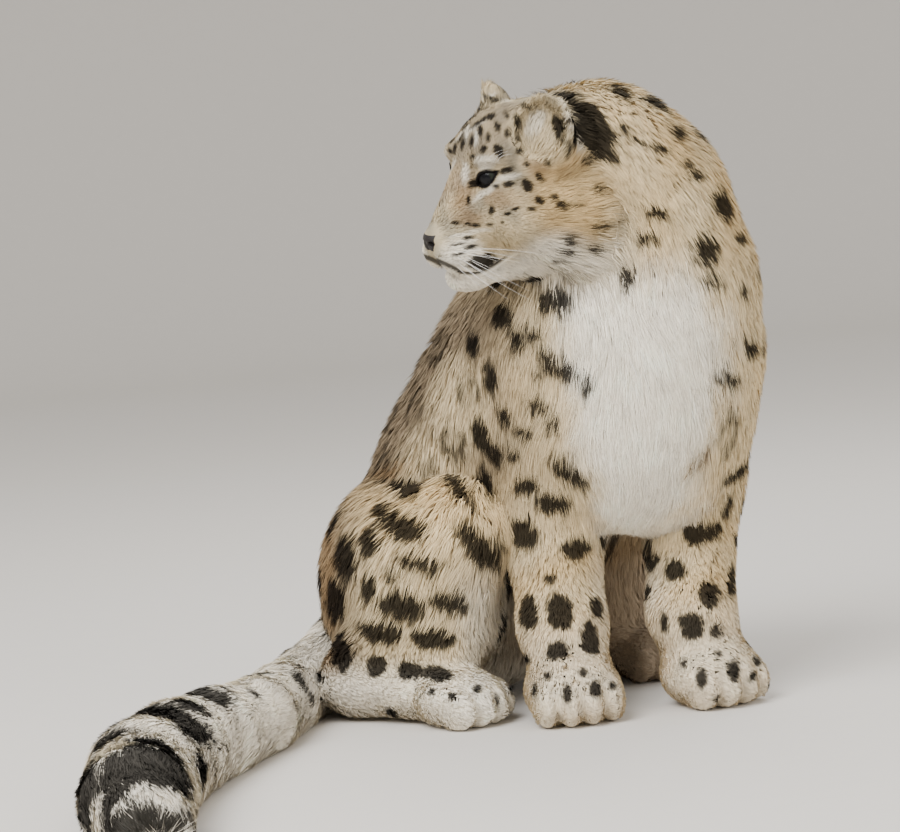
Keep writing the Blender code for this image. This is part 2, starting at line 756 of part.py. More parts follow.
def tail_cell(first, last):
    """Across the tail at two of its joints, and just wide enough for it."""
    path = [vector(point) for point in TAIL_PATH]
    start, end = path[first], path[last]
    before = path[first + 1] - path[max(first - 1, 0)]
    after = path[min(last + 1, len(path) - 1)] - path[last - 1]
    along = (end - start) * vector((1, 1, 0))
    along = along / np.linalg.norm(along)
    across = np.cross((0, 0, 1), along)
    turn = np.stack([along, across, vector((0, 0, 1))], 1)
    middle = (start + end) / 2 * vector((1, 1, 0))
    spread = max(abs((point - middle) @ across) for point in path[first : last + 1])
    wide = spread + max(TAIL_RADII[first : last + 1]) + 0.012
    top = max(path[i][2] + TAIL_RADII[i] for i in range(first, last + 1)) + 0.006
    box = box_planes(middle, turn, (-0.3, -wide, 0.0), (0.3, wide, top))
    planes = box[2:] + [(start, -before / np.linalg.norm(before))]
    if last == len(path) - 1:
        return planes + [(end + along * 0.06, along)]
    return planes + [(end, after / np.linalg.norm(after))]


def eye_ball(side, growth):
    """A round eye, turned so that one point of its mesh is the middle of the pupil."""
    work = bmesh.new()
    bmesh.ops.create_uvsphere(work, u_segments=14, v_segments=8, radius=EYE_RADIUS + growth)
    place = from_head(vector(EYE_PLACE) * vector((1, side, 1)))
    turn = Matrix((HEAD_TURN @ eye_turn(side)).tolist()).to_4x4()
    bmesh.ops.transform(work, matrix=Matrix.Translation(Vector(place)) @ turn, verts=work.verts[:])
    mesh = bpy.data.meshes.new("eye")
    work.to_mesh(mesh)
    work.free()
    ball = bpy.data.objects.new("eye_left" if side > 0 else "eye_right", mesh)
    bpy.context.scene.collection.objects.link(ball)
    return ball


def pieces():
    """Each piece's name, cell, grid step, triangles and colour. An earlier cell wins over a later one."""
    nose_cell = head_box((0.1475, -0.0175, -0.0385), (0.18, 0.0175, -0.0105))
    rows = [("nose", nose_cell, 0.0015, 260, LEATHER)]
    rows.append(("ear_left", ear_box(1), 0.0018, 420, EAR_FUR))
    rows.append(("ear_right", ear_box(-1), 0.0018, 420, EAR_FUR))
    rows.append(("head", head_cell(), 0.0022, 2350, FACE_FUR))
    neck_cell = upright_box((-0.4, -0.3, 0.3), (0.4, 0.4, 0.9))
    neck_cell.append((leant((0, 0.08, 0.505)), (0.0, 0.24, -0.97)))
    rows.append(("neck", neck_cell, 0.007, 700, PALE_FUR))
    rows.append(("forepaw_right", paw_cell((-0.062, -0.005), 12.0), 0.004, 900, FOOT_FUR))
    rows.append(("forepaw_left", paw_cell((0.098, 0.040), 38.0), 0.004, 900, FOOT_FUR))
    rows.append(("foreleg_right", foreleg_cell(-1), 0.006, 600, PALE_FUR))
    rows.append(("foreleg_left", foreleg_cell(1), 0.006, 600, PALE_FUR))
    rows.append(("hindfoot_right", hindfoot_cell(-1), 0.004, 560, FOOT_FUR))
    rows.append(("hindfoot_left", hindfoot_cell(1), 0.004, 560, FOOT_FUR))
    joints = (0, 2, 4, 6, 8, 9)
    for i in range(5):
        rows.append((f"tail_{i + 1}", tail_cell(joints[i], joints[i + 1]), 0.006, 240, TAIL_FUR))
    rows.append(("hindleg_right", hindleg_cell(-1), 0.007, 650, PALE_FUR))
    rows.append(("hindleg_left", hindleg_cell(1), 0.007, 650, PALE_FUR))
    rows.append(("torso", upright_box((-0.6, -0.4, 0.0), (0.4, 0.6, 0.9)), 0.008, 1500, BACK_FUR))
    return rows


def paint(shape, colour):
    """One plain Principled material of the object's own."""
    material = bpy.data.materials.new(shape.name)
    material.use_nodes = True
    shader = material.node_tree.nodes["Principled BSDF"]
    shader.inputs["Base Color"].default_value = (*colour, 1.0)
    shader.inputs["Roughness"].default_value = 0.3 if shape.name.startswith("eye") else 0.8
    shape.data.materials.clear()
    shape.data.materials.append(material)


def build_pieces():
    """Every named piece, cut from the one form by its own cell and kept clear of the earlier cells."""
    low_body, high_body = vector(BODY_LOW), vector(BODY_HIGH)
    draw = random.Random(SEED)
    tail, bib, cheeks = tail_locks(draw), bib_locks(draw), cheek_locks(draw)
    grown = []
    made = []
    for name, planes, step, triangles, colour in pieces():
        cell = cell_of(planes, 0.0)
        low, high = bounds_of(cell)
        low, high = np.maximum(low, low_body), np.minimum(high, high_body)
        shape = fleshed(name, low - step, high + step, step, triangles)
        if name.startswith(("tail", "hindleg_right", "hindfoot_right")):
            coat_over(shape, tail, low, high)
        if name in ("torso", "neck", "foreleg_left", "foreleg_right"):
            coat_over(shape, bib, low, high)
        if name in ("head", "neck", "torso"):
            coat_over(shape, cheeks, low, high)
        combine(shape, cell, "INTERSECT")
        drop(cell)
        for other in grown:
            other_low, other_high = bounds_of(other)
            if (other_low < high).all() and (other_high > low).all():
                combine(shape, other, "DIFFERENCE")
        keep_largest(shape)
        paint(shape, colour)
        grown.append(cell_of(planes, GAP))
        made.append(shape)
    for cell in grown:
        drop(cell)
    for mesh in tail + bib + cheeks:
        bpy.data.meshes.remove(mesh)
    return made


def settle(shapes):
    """Moves everything so that the zero is the middle of the bottom of the whole box."""
    corners = np.array([vert.co[:] for shape in shapes for vert in shape.data.vertices])
    low, high = corners.min(axis=0), corners.max(axis=0)
    shift = Matrix.Translation((-(low[0] + high[0]) / 2, -(low[1] + high[1]) / 2, -low[2]))
    for shape in shapes:
        shape.data.transform(shift)


def main():
    for leftover in list(bpy.data.objects):
        bpy.data.objects.remove(leftover)
    shapes = build_pieces()
    head = bpy.data.objects["head"]
    for side in (-1, 1):
        socket = eye_ball(side, GAP)
        combine(head, socket, "DIFFERENCE")
        drop(socket)
        ball = eye_ball(side, 0.0)
        paint(ball, EYE_DARK)
        shapes.append(ball)
    keep_largest(head)
    settle(shapes)


if __name__ == "__main__":
    main()
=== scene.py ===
"""Looks of a life-size snow leopard that sits on its haunches with its head turned to its right.

One skin stands for all the flesh. Tufts of hair cover it along the lie of the coat, and skin and hair
carry the same spots. Places are worked out as the solids have them, with the zero under the middle of
the forepaws, and move to the model's own zero when a piece becomes a mesh.
"""

import math

import bpy
import numpy as np
from bpy.props import FloatProperty, FloatVectorProperty, IntProperty, PointerProperty
from mathutils import Matrix, Vector
from mathutils.bvhtree import BVHTree
from mathutils.kdtree import KDTree


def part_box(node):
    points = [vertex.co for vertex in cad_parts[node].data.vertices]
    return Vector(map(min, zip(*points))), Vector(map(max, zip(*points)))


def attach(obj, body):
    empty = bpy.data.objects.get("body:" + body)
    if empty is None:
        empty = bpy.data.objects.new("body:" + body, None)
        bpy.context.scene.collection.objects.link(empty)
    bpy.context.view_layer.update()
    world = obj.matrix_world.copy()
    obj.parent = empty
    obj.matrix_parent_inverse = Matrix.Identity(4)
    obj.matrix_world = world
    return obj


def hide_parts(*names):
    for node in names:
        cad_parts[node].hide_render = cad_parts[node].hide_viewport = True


bl_info = {
    "name": "Snow leopard",
    "version": (1, 0, 0),
    "blender": (4, 5, 0),
    "location": "View3D > Sidebar > Leopard",
    "description": "Skin, coat, eyes and whiskers of a sitting snow leopard",
    "category": "Object",
}

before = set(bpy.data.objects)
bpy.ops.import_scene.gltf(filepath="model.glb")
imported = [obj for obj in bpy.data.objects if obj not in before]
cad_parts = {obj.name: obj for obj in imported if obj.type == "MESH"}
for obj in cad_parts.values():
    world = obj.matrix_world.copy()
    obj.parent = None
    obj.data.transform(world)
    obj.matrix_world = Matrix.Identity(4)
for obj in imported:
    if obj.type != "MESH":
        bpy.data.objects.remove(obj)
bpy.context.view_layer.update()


def pairs(*parts):
    """Names of parts that the animal has left and right."""
    return tuple(part + side for part in parts for side in ("_left", "_right"))


# First number of every row of random draws, and lines of the skin's grid to a block
SEED = 7
BLOCK = 4
# Edges of a tetrahedron that the skin crosses, as triangles, by how many of its corners lie inside
CROSSINGS = {
    1: (((0, 1), (0, 2), (0, 3)),),
    2: (((0, 2), (0, 3), (1, 3)), ((0, 2), (1, 3), (1, 2))),
    3: (((0, 3), (1, 3), (2, 3)),),
}

# Shape of the animal as in the solids, in metres and degrees
LEAN = 5.0
HEAD_CENTRE = (-0.098, 0.015, 0.612)
HEAD_YAW = -60.0
HEAD_PITCH = -13.0
HEAD_ROLL = -7.0
EYE_RADIUS = 0.0160
EYE_PLACE = (0.0838, 0.0315, 0.0368)
EYE_OUTWARD = 26.0
EYE_SLANT = 28.0
LID_DEPTH = 0.0028
EYE_HALF_WIDTH = 0.0152
LID_RISE = 0.0064
LID_FALL = 0.0066
EAR_PLACE = (0.025, 0.060, 0.078)
EAR_OUTWARD = 34.0
EAR_LEAN = 8.0
EAR_RADII = (0.023, 0.036, 0.040)
EAR_RIM = 0.010
NOSE_TIP = (0.1525, 0.0, -0.0265)
NOSE_RADII = (0.0105, 0.0155, 0.0115)
MOUTH_FRONT_X = 0.158
MOUTH_CORNER_X = 0.074
MOUTH_Z = -0.0475
MOUTH_DEPTH = 0.0050
MOUTH_WIDTH = 0.0030
MOUTH_SAG = 0.0195
MOUTH_FALL = 0.009
PELVIS = (-0.195, 0.255)
PELVIS_YAW = 45.0
FOOT_TURN = 8.0
PAW_RADII = (0.060, 0.056, 0.040)
HIND_PAW_RADII = (0.054, 0.052, 0.037)
TAIL_RADII = (0.052, 0.050, 0.047, 0.047, 0.050, 0.056, 0.061, 0.064, 0.061, 0.046)
TAIL_CORE = 0.74
TAIL_PATH = (
    (-0.285, 0.345, 0.100),
    (-0.345, 0.285, 0.056),
    (-0.388, 0.200, 0.045),
    (-0.408, 0.090, 0.045),
    (-0.428, -0.030, 0.048),
    (-0.465, -0.140, 0.054),
    (-0.497, -0.260, 0.059),
    (-0.512, -0.390, 0.062),
    (-0.505, -0.520, 0.059),
    (-0.480, -0.630, 0.044),
)
TAIL_LENGTH = sum(math.dist(first, second) for first, second in zip(TAIL_PATH, TAIL_PATH[1:]))
# How the hair lies on both forelegs and both hind legs: yaw and fall on the paw, and its way above the paw
PAW_LIES = (
    (12.0, -0.35, (-0.05, 0.05, -1.0)),
    (38.0, -0.35, (-0.05, 0.05, -1.0)),
    (PELVIS_YAW, -0.25, (-0.30, 0.15, -1.0)),
    (PELVIS_YAW, -0.25, (-0.30, 0.15, -1.0)),
)
# Box and grid of the skin, the finer box round the head, and the height where feet and belly end
SKIN_LOW = (-0.60, -0.72, -0.03)
SKIN_HIGH = (0.26, 0.50, 0.80)
HEAD_LOW = (-0.275, -0.160, 0.470)
HEAD_HIGH = (-0.020, 0.120, 0.760)
HEAD_REACH = 0.25
HEAD_BALL = 0.16
SOLE = 0.0015
# CAD nodes that the skin stands for
FLESH = ("torso", "neck", "head", *pairs("ear", "foreleg", "forepaw", "hindleg", "hindfoot"))
FLESH += tuple(f"tail_{k}" for k in range(1, 6))
# Parts that own the coat, in the order of their shares, and where each kind stands in it
PARTS = ("torso", "foreleg_right", "foreleg_left", "hindleg_right", "hindleg_left", "tail", "head")
TORSO, FORE, HIND, TAIL, HEAD = 0, slice(1, 3), slice(3, 5), 5, 6
PART_BLENDS = (0.035, 0.035, 0.030, 0.030, 0.020, 0.050)

# The photograph's view, in the same axes
VIEW_PLACE = (0.0, -4.0148, 0.7186)
VIEW_TURN = 2.51
VIEW_PITCH = 5.04
VIEW_ROLL = -5.0
VIEW_FOCAL = 3504.0
PICTURE = (900, 832)
SENSOR = 36.0

# The stage, in metres from the model's own zero: floor, and lamps with their place, size and power
FLOOR_RADIUS = 6.0
FLOOR_BEND = 1.5
FLOOR_TOP = 2.2
FLOOR_SIDES = 96
LAMP_AIM = (0.1, 0.1, 0.4)
LAMPS = (
    ("key", (-1.3, -2.2, 3.0), 2.4, 240.0),
    ("fill", (2.6, -2.2, 1.6), 2.5, 45.0),
    ("rim", (0.6, 2.0, 2.6), 2.0, 40.0),
)


def vector(values):
    """The values as an array of plain numbers."""
    return np.array(values, float)


def join(first, second, blend):
    """Smooth union of two distance fields."""
    share = np.maximum(blend - np.abs(first - second), 0.0) / blend
    return np.minimum(first, second) - share * share * blend * 0.25


def fuse(form, *pieces):
    """Joins pieces to a form one after the other. Each comes with its blend."""
    for piece, blend in pieces:
        form = join(form, piece, blend)
    return form


def meet(first, second, blend):
    """Smooth overlap of two distance fields."""
    return -join(-first, -second, blend)


def carve(body, tool, blend):
    """The body with the tool cut out of it, with a soft edge."""
    return meet(body, -tool, blend)


def limb(points, start, end, start_radius, end_radius):
    """Distance to a tapered rod with ball ends."""
    start = vector(start)
    along = vector(end) - start
    offset = points - start
    share = np.clip(offset @ along / (along @ along), 0.0, 1.0)
    reach = np.linalg.norm(offset - share[:, None] * along, axis=1)
    return reach - (start_radius + share * (end_radius - start_radius))


def egg(points, centre, radii, turn=None):
    """Distance to an ellipsoid. The columns of turn are its own axes."""
    offset = points - vector(centre)
    if turn is not None:
        offset = offset @ turn
    radii = vector(radii)
    near = np.linalg.norm(offset / radii, axis=1)
    slope = np.linalg.norm(offset / radii**2, axis=1) + 1e-9
    return near * (near - 1.0) / slope


def spin(angle, axis):
    """Turn about one axis by an angle in degrees."""
    return Matrix.Rotation(math.radians(angle), 3, axis)


def axes(yaw, pitch=0.0, roll=0.0):
    """Columns forward, left and up of a thing that faces the viewer at yaw 0 and turns to its left."""
    return np.array(spin(yaw - 90.0, "Z") @ spin(-pitch, "Y") @ spin(roll, "X"))


LEAN_TURN = np.array(spin(LEAN, "Y"))
HEAD_TURN = LEAN_TURN @ axes(HEAD_YAW, HEAD_PITCH, HEAD_ROLL)
PELVIS_TURN = axes(PELVIS_YAW)


def leant(place):
    """Where a point of the upright body goes when the body leans to its left."""
    return LEAN_TURN @ vector(place)


def from_head(place):
    """World place of a point given forward, left and up in the head."""
    return leant(HEAD_CENTRE) + HEAD_TURN @ vector(place)


def from_pelvis(place):
    """World place of a point given forward, left and up of the pelvis, with the height from the floor."""
    return vector((*PELVIS, 0.0)) + PELVIS_TURN @ vector(place)


def in_head(points):
    """Forward, left and up of the head for each point."""
    return (points - leant(HEAD_CENTRE)) @ HEAD_TURN


def folded_head(points):
    """The same with the right side folded onto the left."""
    half = in_head(points)
    half[:, 1] = np.abs(half[:, 1])
    return half


def eye_turn(side):
    """The eye's axes in the head: out through the pupil, to its left and up."""
    return np.array(spin(EYE_OUTWARD * side, "Z") @ spin(EYE_SLANT * side, "X"))


def ear_turn(side):
    """The ear's axes in the head: out of the cup, to its left and up to the tip."""
    return np.array(spin(EAR_OUTWARD * side, "Z") @ spin(-EAR_LEAN, "Y"))


def skull_form(half):
    """The head without its openings, in head axes, with the left and right sides folded together."""
    return fuse(
        egg(half, (0.012, 0.0, 0.036), (0.082, 0.069, 0.067)),
        (egg(half, (0.057, 0.0, 0.050), (0.044, 0.054, 0.046)), 0.03),
        (egg(half, (0.045, 0.048, -0.016), (0.052, 0.036, 0.044)), 0.03),
        (egg(half, (0.000, 0.056, -0.034), (0.052, 0.036, 0.054)), 0.03),
        (limb(half, (0.080, 0, 0.000), (0.128, 0, -0.034), 0.046, 0.031), 0.025),
        (limb(half, (0.097, 0, 0.024), (0.1424, 0, -0.024), 0.024, 0.0155), 0.014),
        (limb(half, (0.045, 0, -0.050), (0.106, 0, -0.072), 0.043, 0.022), 0.02),
        (egg(half, (0.127, 0.0185, -0.046), (0.031, 0.0225, 0.024)), 0.010),
        (egg(half, (0.117, 0.0, -0.078), (0.026, 0.022, 0.0175)), 0.010),
        (egg(half, (0.086, 0.034, 0.056), (0.020, 0.021, 0.013)), 0.014),
    )


def eye_form(form, half):
    """The lids round each eye and the opening between them."""
    turn = eye_turn(1)
    place = vector(EYE_PLACE)
    offset = (half - place) @ turn
    socket = egg(half, place + turn @ vector((0.020, 0.0, 0.0)), (0.012, 0.022, 0.014), turn)
    form = carve(form, socket, 0.010)
    ball = np.linalg.norm(offset, axis=1)
    form = join(form, ball - (EYE_RADIUS + LID_DEPTH), 0.005)
    width = 1.0 - (offset[:, 1] / EYE_HALF_WIDTH) ** 2
    opening = np.maximum(offset[:, 2] - LID_RISE * width, -offset[:, 2] - LID_FALL * width)
    opening = np.maximum(opening, 0.004 - offset[:, 0])
    opening = np.maximum(opening, ball - (EYE_RADIUS + 0.02))
    return np.maximum(form, -opening)


def ear_form(form, half):
    """A thin rounded cup that opens forward and outward."""
    turn = ear_turn(1)
    centre = vector(EAR_PLACE)
    cup = egg(half, centre, EAR_RADII, turn)
    cup = meet(cup, (half - centre) @ turn[:, 0] - EAR_RIM, 0.004)
    hollow_centre = centre + turn @ vector((0.014, 0.0, 0.002))
    hollow = egg(half, hollow_centre, (0.024, 0.0295, 0.0335), turn)
    root = limb(half, centre + turn @ vector((-0.004, 0, -0.022)), (0.020, 0.040, 0.042), 0.027, 0.032)
    form = join(form, join(cup, root, 0.012), 0.012)
    return carve(form, hollow, 0.003)


def nose_form(form, half):
    """The nose leather with its nostrils, and the groove that runs from it to the mouth."""
    tip = vector(NOSE_TIP)
    form = join(form, egg(half, tip, NOSE_RADII), 0.004)
    nostril = egg(half, tip + vector((0.009, 0.0080, -0.001)), (0.007, 0.0042, 0.0034))
    form = carve(form, nostril, 0.001)
    groove = np.exp(-((half[:, 1] / 0.0022) ** 2)) * np.clip((half[:, 0] - 0.125) / 0.01, 0.0, 1.0)
    groove = groove * np.clip((tip[2] + 0.002 - half[:, 2]) / 0.006, 0.0, 1.0)
    groove = groove * np.clip((half[:, 2] - MOUTH_Z + 0.010) / 0.006, 0.0, 1.0)
    return form + 0.0022 * groove


def mouth_line(half):
    """Height and slope of the mouth, which sinks from the nose to the cheek pads and rises at the corner."""
    length = MOUTH_FRONT_X - MOUTH_CORNER_X
    share = np.clip((MOUTH_FRONT_X - half[:, 0]) / length, 0.0, 1.0)
    height = MOUTH_Z - MOUTH_SAG * np.sin(math.pi * share) - MOUTH_FALL * share
    slope = (math.pi * MOUTH_SAG * np.cos(math.pi * share) + MOUTH_FALL) / length
    return height, slope


def mouth_form(form, half):
    """The line of the mouth, a groove between the lips."""
    height, slope = mouth_line(half)
    away = (half[:, 2] - height) / np.sqrt(1.0 + slope**2)
    groove = np.exp(-((away / MOUTH_WIDTH) ** 2))
    back = np.clip((half[:, 0] - MOUTH_CORNER_X) / 0.008, 0.0, 1.0)
    front = np.clip((MOUTH_FRONT_X + 0.002 - half[:, 0]) / 0.016, 0.0, 1.0)
    return form + MOUTH_DEPTH * groove * back * front


def head_form(points):
    """The whole head in world axes."""
    half = folded_head(points)
    form = skull_form(half)
    for feature in (ear_form, eye_form, nose_form, mouth_form):
        form = feature(form, half)
    return form


def trunk_form(points):
    """Chest, ribs, belly and rump, from front to back, and the neck."""
    upright = points @ LEAN_TURN
    chest = fuse(
        egg(upright, (0.004, 0.068, 0.375), (0.142, 0.126, 0.172)),
        (egg(upright, (-0.060, 0.120, 0.430), (0.145, 0.135, 0.150)), 0.06),
        (egg(upright, (-0.110, 0.165, 0.345), (0.150, 0.145, 0.150)), 0.06),
        (egg(upright, (-0.155, 0.215, 0.250), (0.155, 0.150, 0.150)), 0.06),
    )
    neck = fuse(
        egg(upright, (0.012, 0.090, 0.500), (0.142, 0.128, 0.125)),
        (egg(upright, (0.006, 0.072, 0.600), (0.110, 0.105, 0.100)), 0.05),
        (egg(upright, (-0.040, 0.050, 0.652), (0.090, 0.085, 0.085)), 0.05),
    )
    rump = egg(points, (*PELVIS, 0.145), (0.150, 0.145, 0.152))
    return fuse(chest, (neck, 0.06), (rump, 0.06))


def paw_form(points, centre, yaw, radii):
    """A broad forepaw or hind toe pad with four toes parted by grooves."""
    turn = axes(yaw)
    local = (points - vector(centre)) @ turn
    paw = egg(local, (0.0, 0.0, 0.0), radii)
    length, width, height = radii
    for toe in range(4):
        across = (toe - 1.5) / 1.5
        reach = 0.66 - 0.20 * across**2
        place = (length * reach, width * 0.68 * across, -height * 0.20)
        ball = egg(local, place, (length * 0.50, width * 0.30, height * 0.72))
        paw = join(paw, ball, 0.008)
    return paw


def foreleg_form(points, side):
    """Shoulder, arm and paw. Side is 1 for the animal's left."""
    if side > 0:
        shoulder, elbow = leant((0.072, 0.105, 0.405)), leant((0.072, 0.110, 0.265))
        wrist, paw, yaw = (0.083, 0.062, 0.105), (0.098, 0.040, 0.034), PAW_LIES[1][0]
    else:
        shoulder, elbow = leant((-0.078, 0.062, 0.405)), leant((-0.093, 0.070, 0.265))
        wrist, paw, yaw = (-0.068, 0.030, 0.105), (-0.062, -0.005, 0.034), PAW_LIES[0][0]
    return fuse(
        limb(points, shoulder, elbow, 0.086, 0.062),
        (limb(points, elbow, wrist, 0.060, 0.050), 0.03),
        (limb(points, wrist, vector(paw) + vector((0, 0.005, 0.02)), 0.050, 0.044), 0.02),
        (paw_form(points, paw, yaw, PAW_RADII), 0.025),
    )


def hindleg_form(points, side):
    """Haunch, shank and long foot. Side is 1 for the animal's left."""
    hip = from_pelvis((0.050, 0.110 * side, 0.190))
    knee = from_pelvis((0.148, 0.120 * side, 0.228))
    shank = from_pelvis((0.118, 0.142 * side, 0.078))
    hock = from_pelvis((0.012, 0.180 * side, 0.050))
    ball = from_pelvis((0.160, 0.160 * side, 0.031))
    toes = paw_form(points, ball, PELVIS_YAW - FOOT_TURN * side, HIND_PAW_RADII)
    return fuse(
        egg(points, from_pelvis((0.030, 0.105 * side, 0.152)), (0.138, 0.090, 0.135), PELVIS_TURN),
        (limb(points, hip, knee, 0.085, 0.060), 0.04),
        (limb(points, knee, hock, 0.060, 0.045), 0.03),
        (limb(points, knee, shank, 0.058, 0.046), 0.03),
        (join(limb(points, hock, ball, 0.044, 0.031), toes, 0.012), 0.02),
    )


def core_share(joint):
    """How far the tail's dense core reaches at a joint, of the way out to the tips of its coat."""
    return max(TAIL_CORE, 1.0 - 0.16 * joint)


def core_joint(joint):
    """Middle and radius of the tail's core at a joint. The core rests on the floor as the coat does."""
    radius = TAIL_RADII[joint] * core_share(joint)
    return vector(TAIL_PATH[joint]) - vector((0, 0, TAIL_RADII[joint] - radius)), radius


def tail_form(points):
    """The core of the thick tail, which lies on the floor and curls forward."""
    form = None
    for i in range(len(TAIL_PATH) - 1):
        (start, start_radius), (end, end_radius) = core_joint(i), core_joint(i + 1)
        piece = limb(points, start, end, start_radius, end_radius)
        form = piece if form is None else join(form, piece, 0.012)
    return form


def distance(points, place):
    """How far each point is from a place."""
    return np.linalg.norm(points - vector(place), axis=1)


def body_parts(points):
    """Distance to each part of the animal, in the order of PARTS. Far from the head a ball stands for it."""
    fields = [trunk_form(points)]
    fields += [form(points, side) for form in (foreleg_form, hindleg_form) for side in (-1, 1)]
    fields.append(tail_form(points))
    reach = distance(points, leant(HEAD_CENTRE))
    head = reach - HEAD_BALL
    near = reach < HEAD_REACH
    if near.any():
        head[near] = head_form(points[near])
    fields.append(head)
    return np.stack(fields, 1)


def joined(fields):
    """One field for the whole animal, blended as in the solids."""
    return fuse(fields[:, 0], *zip(fields.T[1:], PART_BLENDS))


def shares_of(fields):
    """How much each part owns each point."""
    weight = np.exp(-(fields - fields.min(axis=1)[:, None]) / 0.012)
    return weight / weight.sum(axis=1)[:, None]


def ramp(values, start, end):
    """From 0 at start to 1 at end, with soft ends."""
    share = np.clip((values - start) / (end - start), 0.0, 1.0)
    return share * share * (3.0 - 2.0 * share)


def fade(values, start, end):
    """From 1 at start to 0 at end, with soft ends."""
    return 1.0 - ramp(values, start, end)


def unit(vectors):
    """The same directions, each with a length of one."""
    return vectors / np.linalg.norm(vectors, axis=-1)[..., None]


def lip_distance(half):
    """How far each point of the head is from the line of the mouth."""
    height, slope = mouth_line(half)
    lip = np.abs(half[:, 2] - height) / np.sqrt(1.0 + slope**2)
    lip = np.maximum(lip, MOUTH_CORNER_X - half[:, 0])
    return lip + np.where(np.linalg.norm(half, axis=1) > 0.21, 1.0, 0.0)


def bare_share(points):
    """1 on the lids, nose and lips, where no hair stands, and 0 a finger's width away."""
    half = folded_head(points)
    bare = fade(distance(half, EYE_PLACE), 0.018, 0.028)
    bare = np.maximum(bare, fade(distance(half, NOSE_TIP), 0.014, 0.024))
    return np.maximum(bare, fade(lip_distance(half), 0.002, 0.006))


def coat_depth(points, shares):
    """How far the coat stands off the skin, in metres."""
    half = folded_head(points)
    height = points[:, 2]
    face = 0.0025 + 0.0105 * fade(half[:, 0], -0.03, 0.075)
    face = face * (0.12 + 0.88 * ramp(distance(half, EAR_PLACE), 0.045, 0.065))
    leg = 0.0028 + 0.0095 * ramp(height, 0.08, 0.30)
    haunch = 0.0032 + 0.0125 * ramp(height, 0.07, 0.14)
    depth = shares[:, TORSO] * 0.018 + shares[:, FORE].sum(axis=1) * leg
    depth = depth + shares[:, HIND].sum(axis=1) * haunch + shares[:, HEAD] * face
    return depth * (1.0 - bare_share(points) * ramp(shares[:, HEAD], 0.2, 0.8))


def skin_form(points):
    """The flesh without its coat, cut level just above the floor."""
    fields = body_parts(points)
    form = joined(fields) + coat_depth(points, shares_of(fields))
    return np.maximum(form, SOLE - points[:, 2])


def in_turns(work, points, size=120000):
    """Works through many points in handy lots."""
    return np.concatenate([work(points[k : k + size]) for k in range(0, len(points), size)])


def grid_lines(axis, wide, fine):
    """Uneven grid lines along one axis, close together across the head."""
    edges = [SKIN_LOW[axis]]
    while edges[-1] < SKIN_HIGH[axis]:
        close = HEAD_LOW[axis] - wide < edges[-1] < HEAD_HIGH[axis]
        edges.append(edges[-1] + BLOCK * (fine if close else wide))
    edges = np.array(edges)
    inner = np.arange(BLOCK) / BLOCK
    return (edges[:-1, None] + np.diff(edges)[:, None] * inner).ravel()


def sample(form, lines):
    """The field on the grid, worked out point by point only near the surface."""
    blocks = [line.reshape(-1, BLOCK) for line in lines]
    mids = np.stack(np.meshgrid(*[block.mean(axis=1) for block in blocks], indexing="ij"), -1)
    spans = [np.ptp(block, axis=1) * BLOCK / (BLOCK - 1) / 2 for block in blocks]
    reach = np.linalg.norm(np.stack(np.meshgrid(*spans, indexing="ij"), -1), axis=-1)
    coarse = in_turns(form, mids.reshape(-1, 3)).reshape(reach.shape)
    near = np.abs(coarse) < reach * 1.35 + 0.004
    values = coarse
    for axis in range(3):
        values = np.repeat(values, BLOCK, axis)
        near = np.repeat(near, BLOCK, axis)
    where = np.argwhere(near)
    values[near] = in_turns(form, np.stack([lines[k][where[:, k]] for k in range(3)], 1))
    for axis in range(3):
        edge = np.moveaxis(values, axis, 0)
        edge[0] = BLOCK
        edge[-1] = BLOCK
    return values


def surface_of(values, lines):
    """Points and triangles of the closed surface where the sampled field is zero, cube by cube.

    Each cube of the grid is six tetrahedra along one diagonal, which leaves no gap and no double edge.
    """
    corners = np.array([(k & 1, k >> 1 & 1, k >> 2 & 1) for k in range(8)])
    inside = (values < 0).astype(np.int8)
    span = np.array(values.shape) - 1
    below = sum(inside[x : x + span[0], y : y + span[1], z : z + span[2]] for x, y, z in corners)
    cubes = np.argwhere((below > 0) & (below < 8))
    spots = np.stack([np.ravel_multi_index((cubes + corner).T, values.shape) for corner in corners], 1)
    level = values.ravel()
    crossed = []
    for first, second in ((1, 3), (1, 5), (2, 3), (2, 6), (4, 5), (4, 6)):
        tet = spots[:, (0, first, second, 7)]
        order = np.argsort(level[tet] >= 0, axis=1, kind="stable")
        tet = np.take_along_axis(tet, order, 1)
        count = (level[tet] < 0).sum(axis=1)
        for held, rings in CROSSINGS.items():
            chosen = tet[count == held]
            for ring in rings:
                crossed.append(np.stack([chosen[:, edge] for edge in ring], 1))
    crossed = np.concatenate(crossed)
    keys = crossed[..., 0] * level.size + crossed[..., 1]
    unique, number = np.unique(keys, return_inverse=True)
    ends = np.stack([unique // level.size, unique % level.size], 1)
    share = level[ends[:, 0]] / (level[ends[:, 0]] - level[ends[:, 1]])
    share = np.clip(share, 0.02, 0.98)[:, None]
    index = np.unravel_index(ends, values.shape)
    places = np.stack([lines[k][index[k]] for k in range(3)], -1)
    points = places[:, 0] * (1 - share) + places[:, 1] * share
    faces = number.reshape(-1, 3)
    normal = np.cross(points[faces[:, 1]] - points[faces[:, 0]], points[faces[:, 2]] - points[faces[:, 0]])
    first = np.stack(np.unravel_index(crossed[:, 0, 0], values.shape), -1)
    second = np.stack(np.unravel_index(crossed[:, 0, 1], values.shape), -1)
    back = (normal * (second - first)).sum(axis=1) < 0
    faces[back] = faces[back][:, ::-1]
    return points, faces


def shift():
    """From the zero between the forepaws to the model's own zero, read off the solids' left eye."""
    low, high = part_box("eye_left")
    return (vector(low) + vector(high)) / 2 - from_head(EYE_PLACE)


SHIFT = shift()


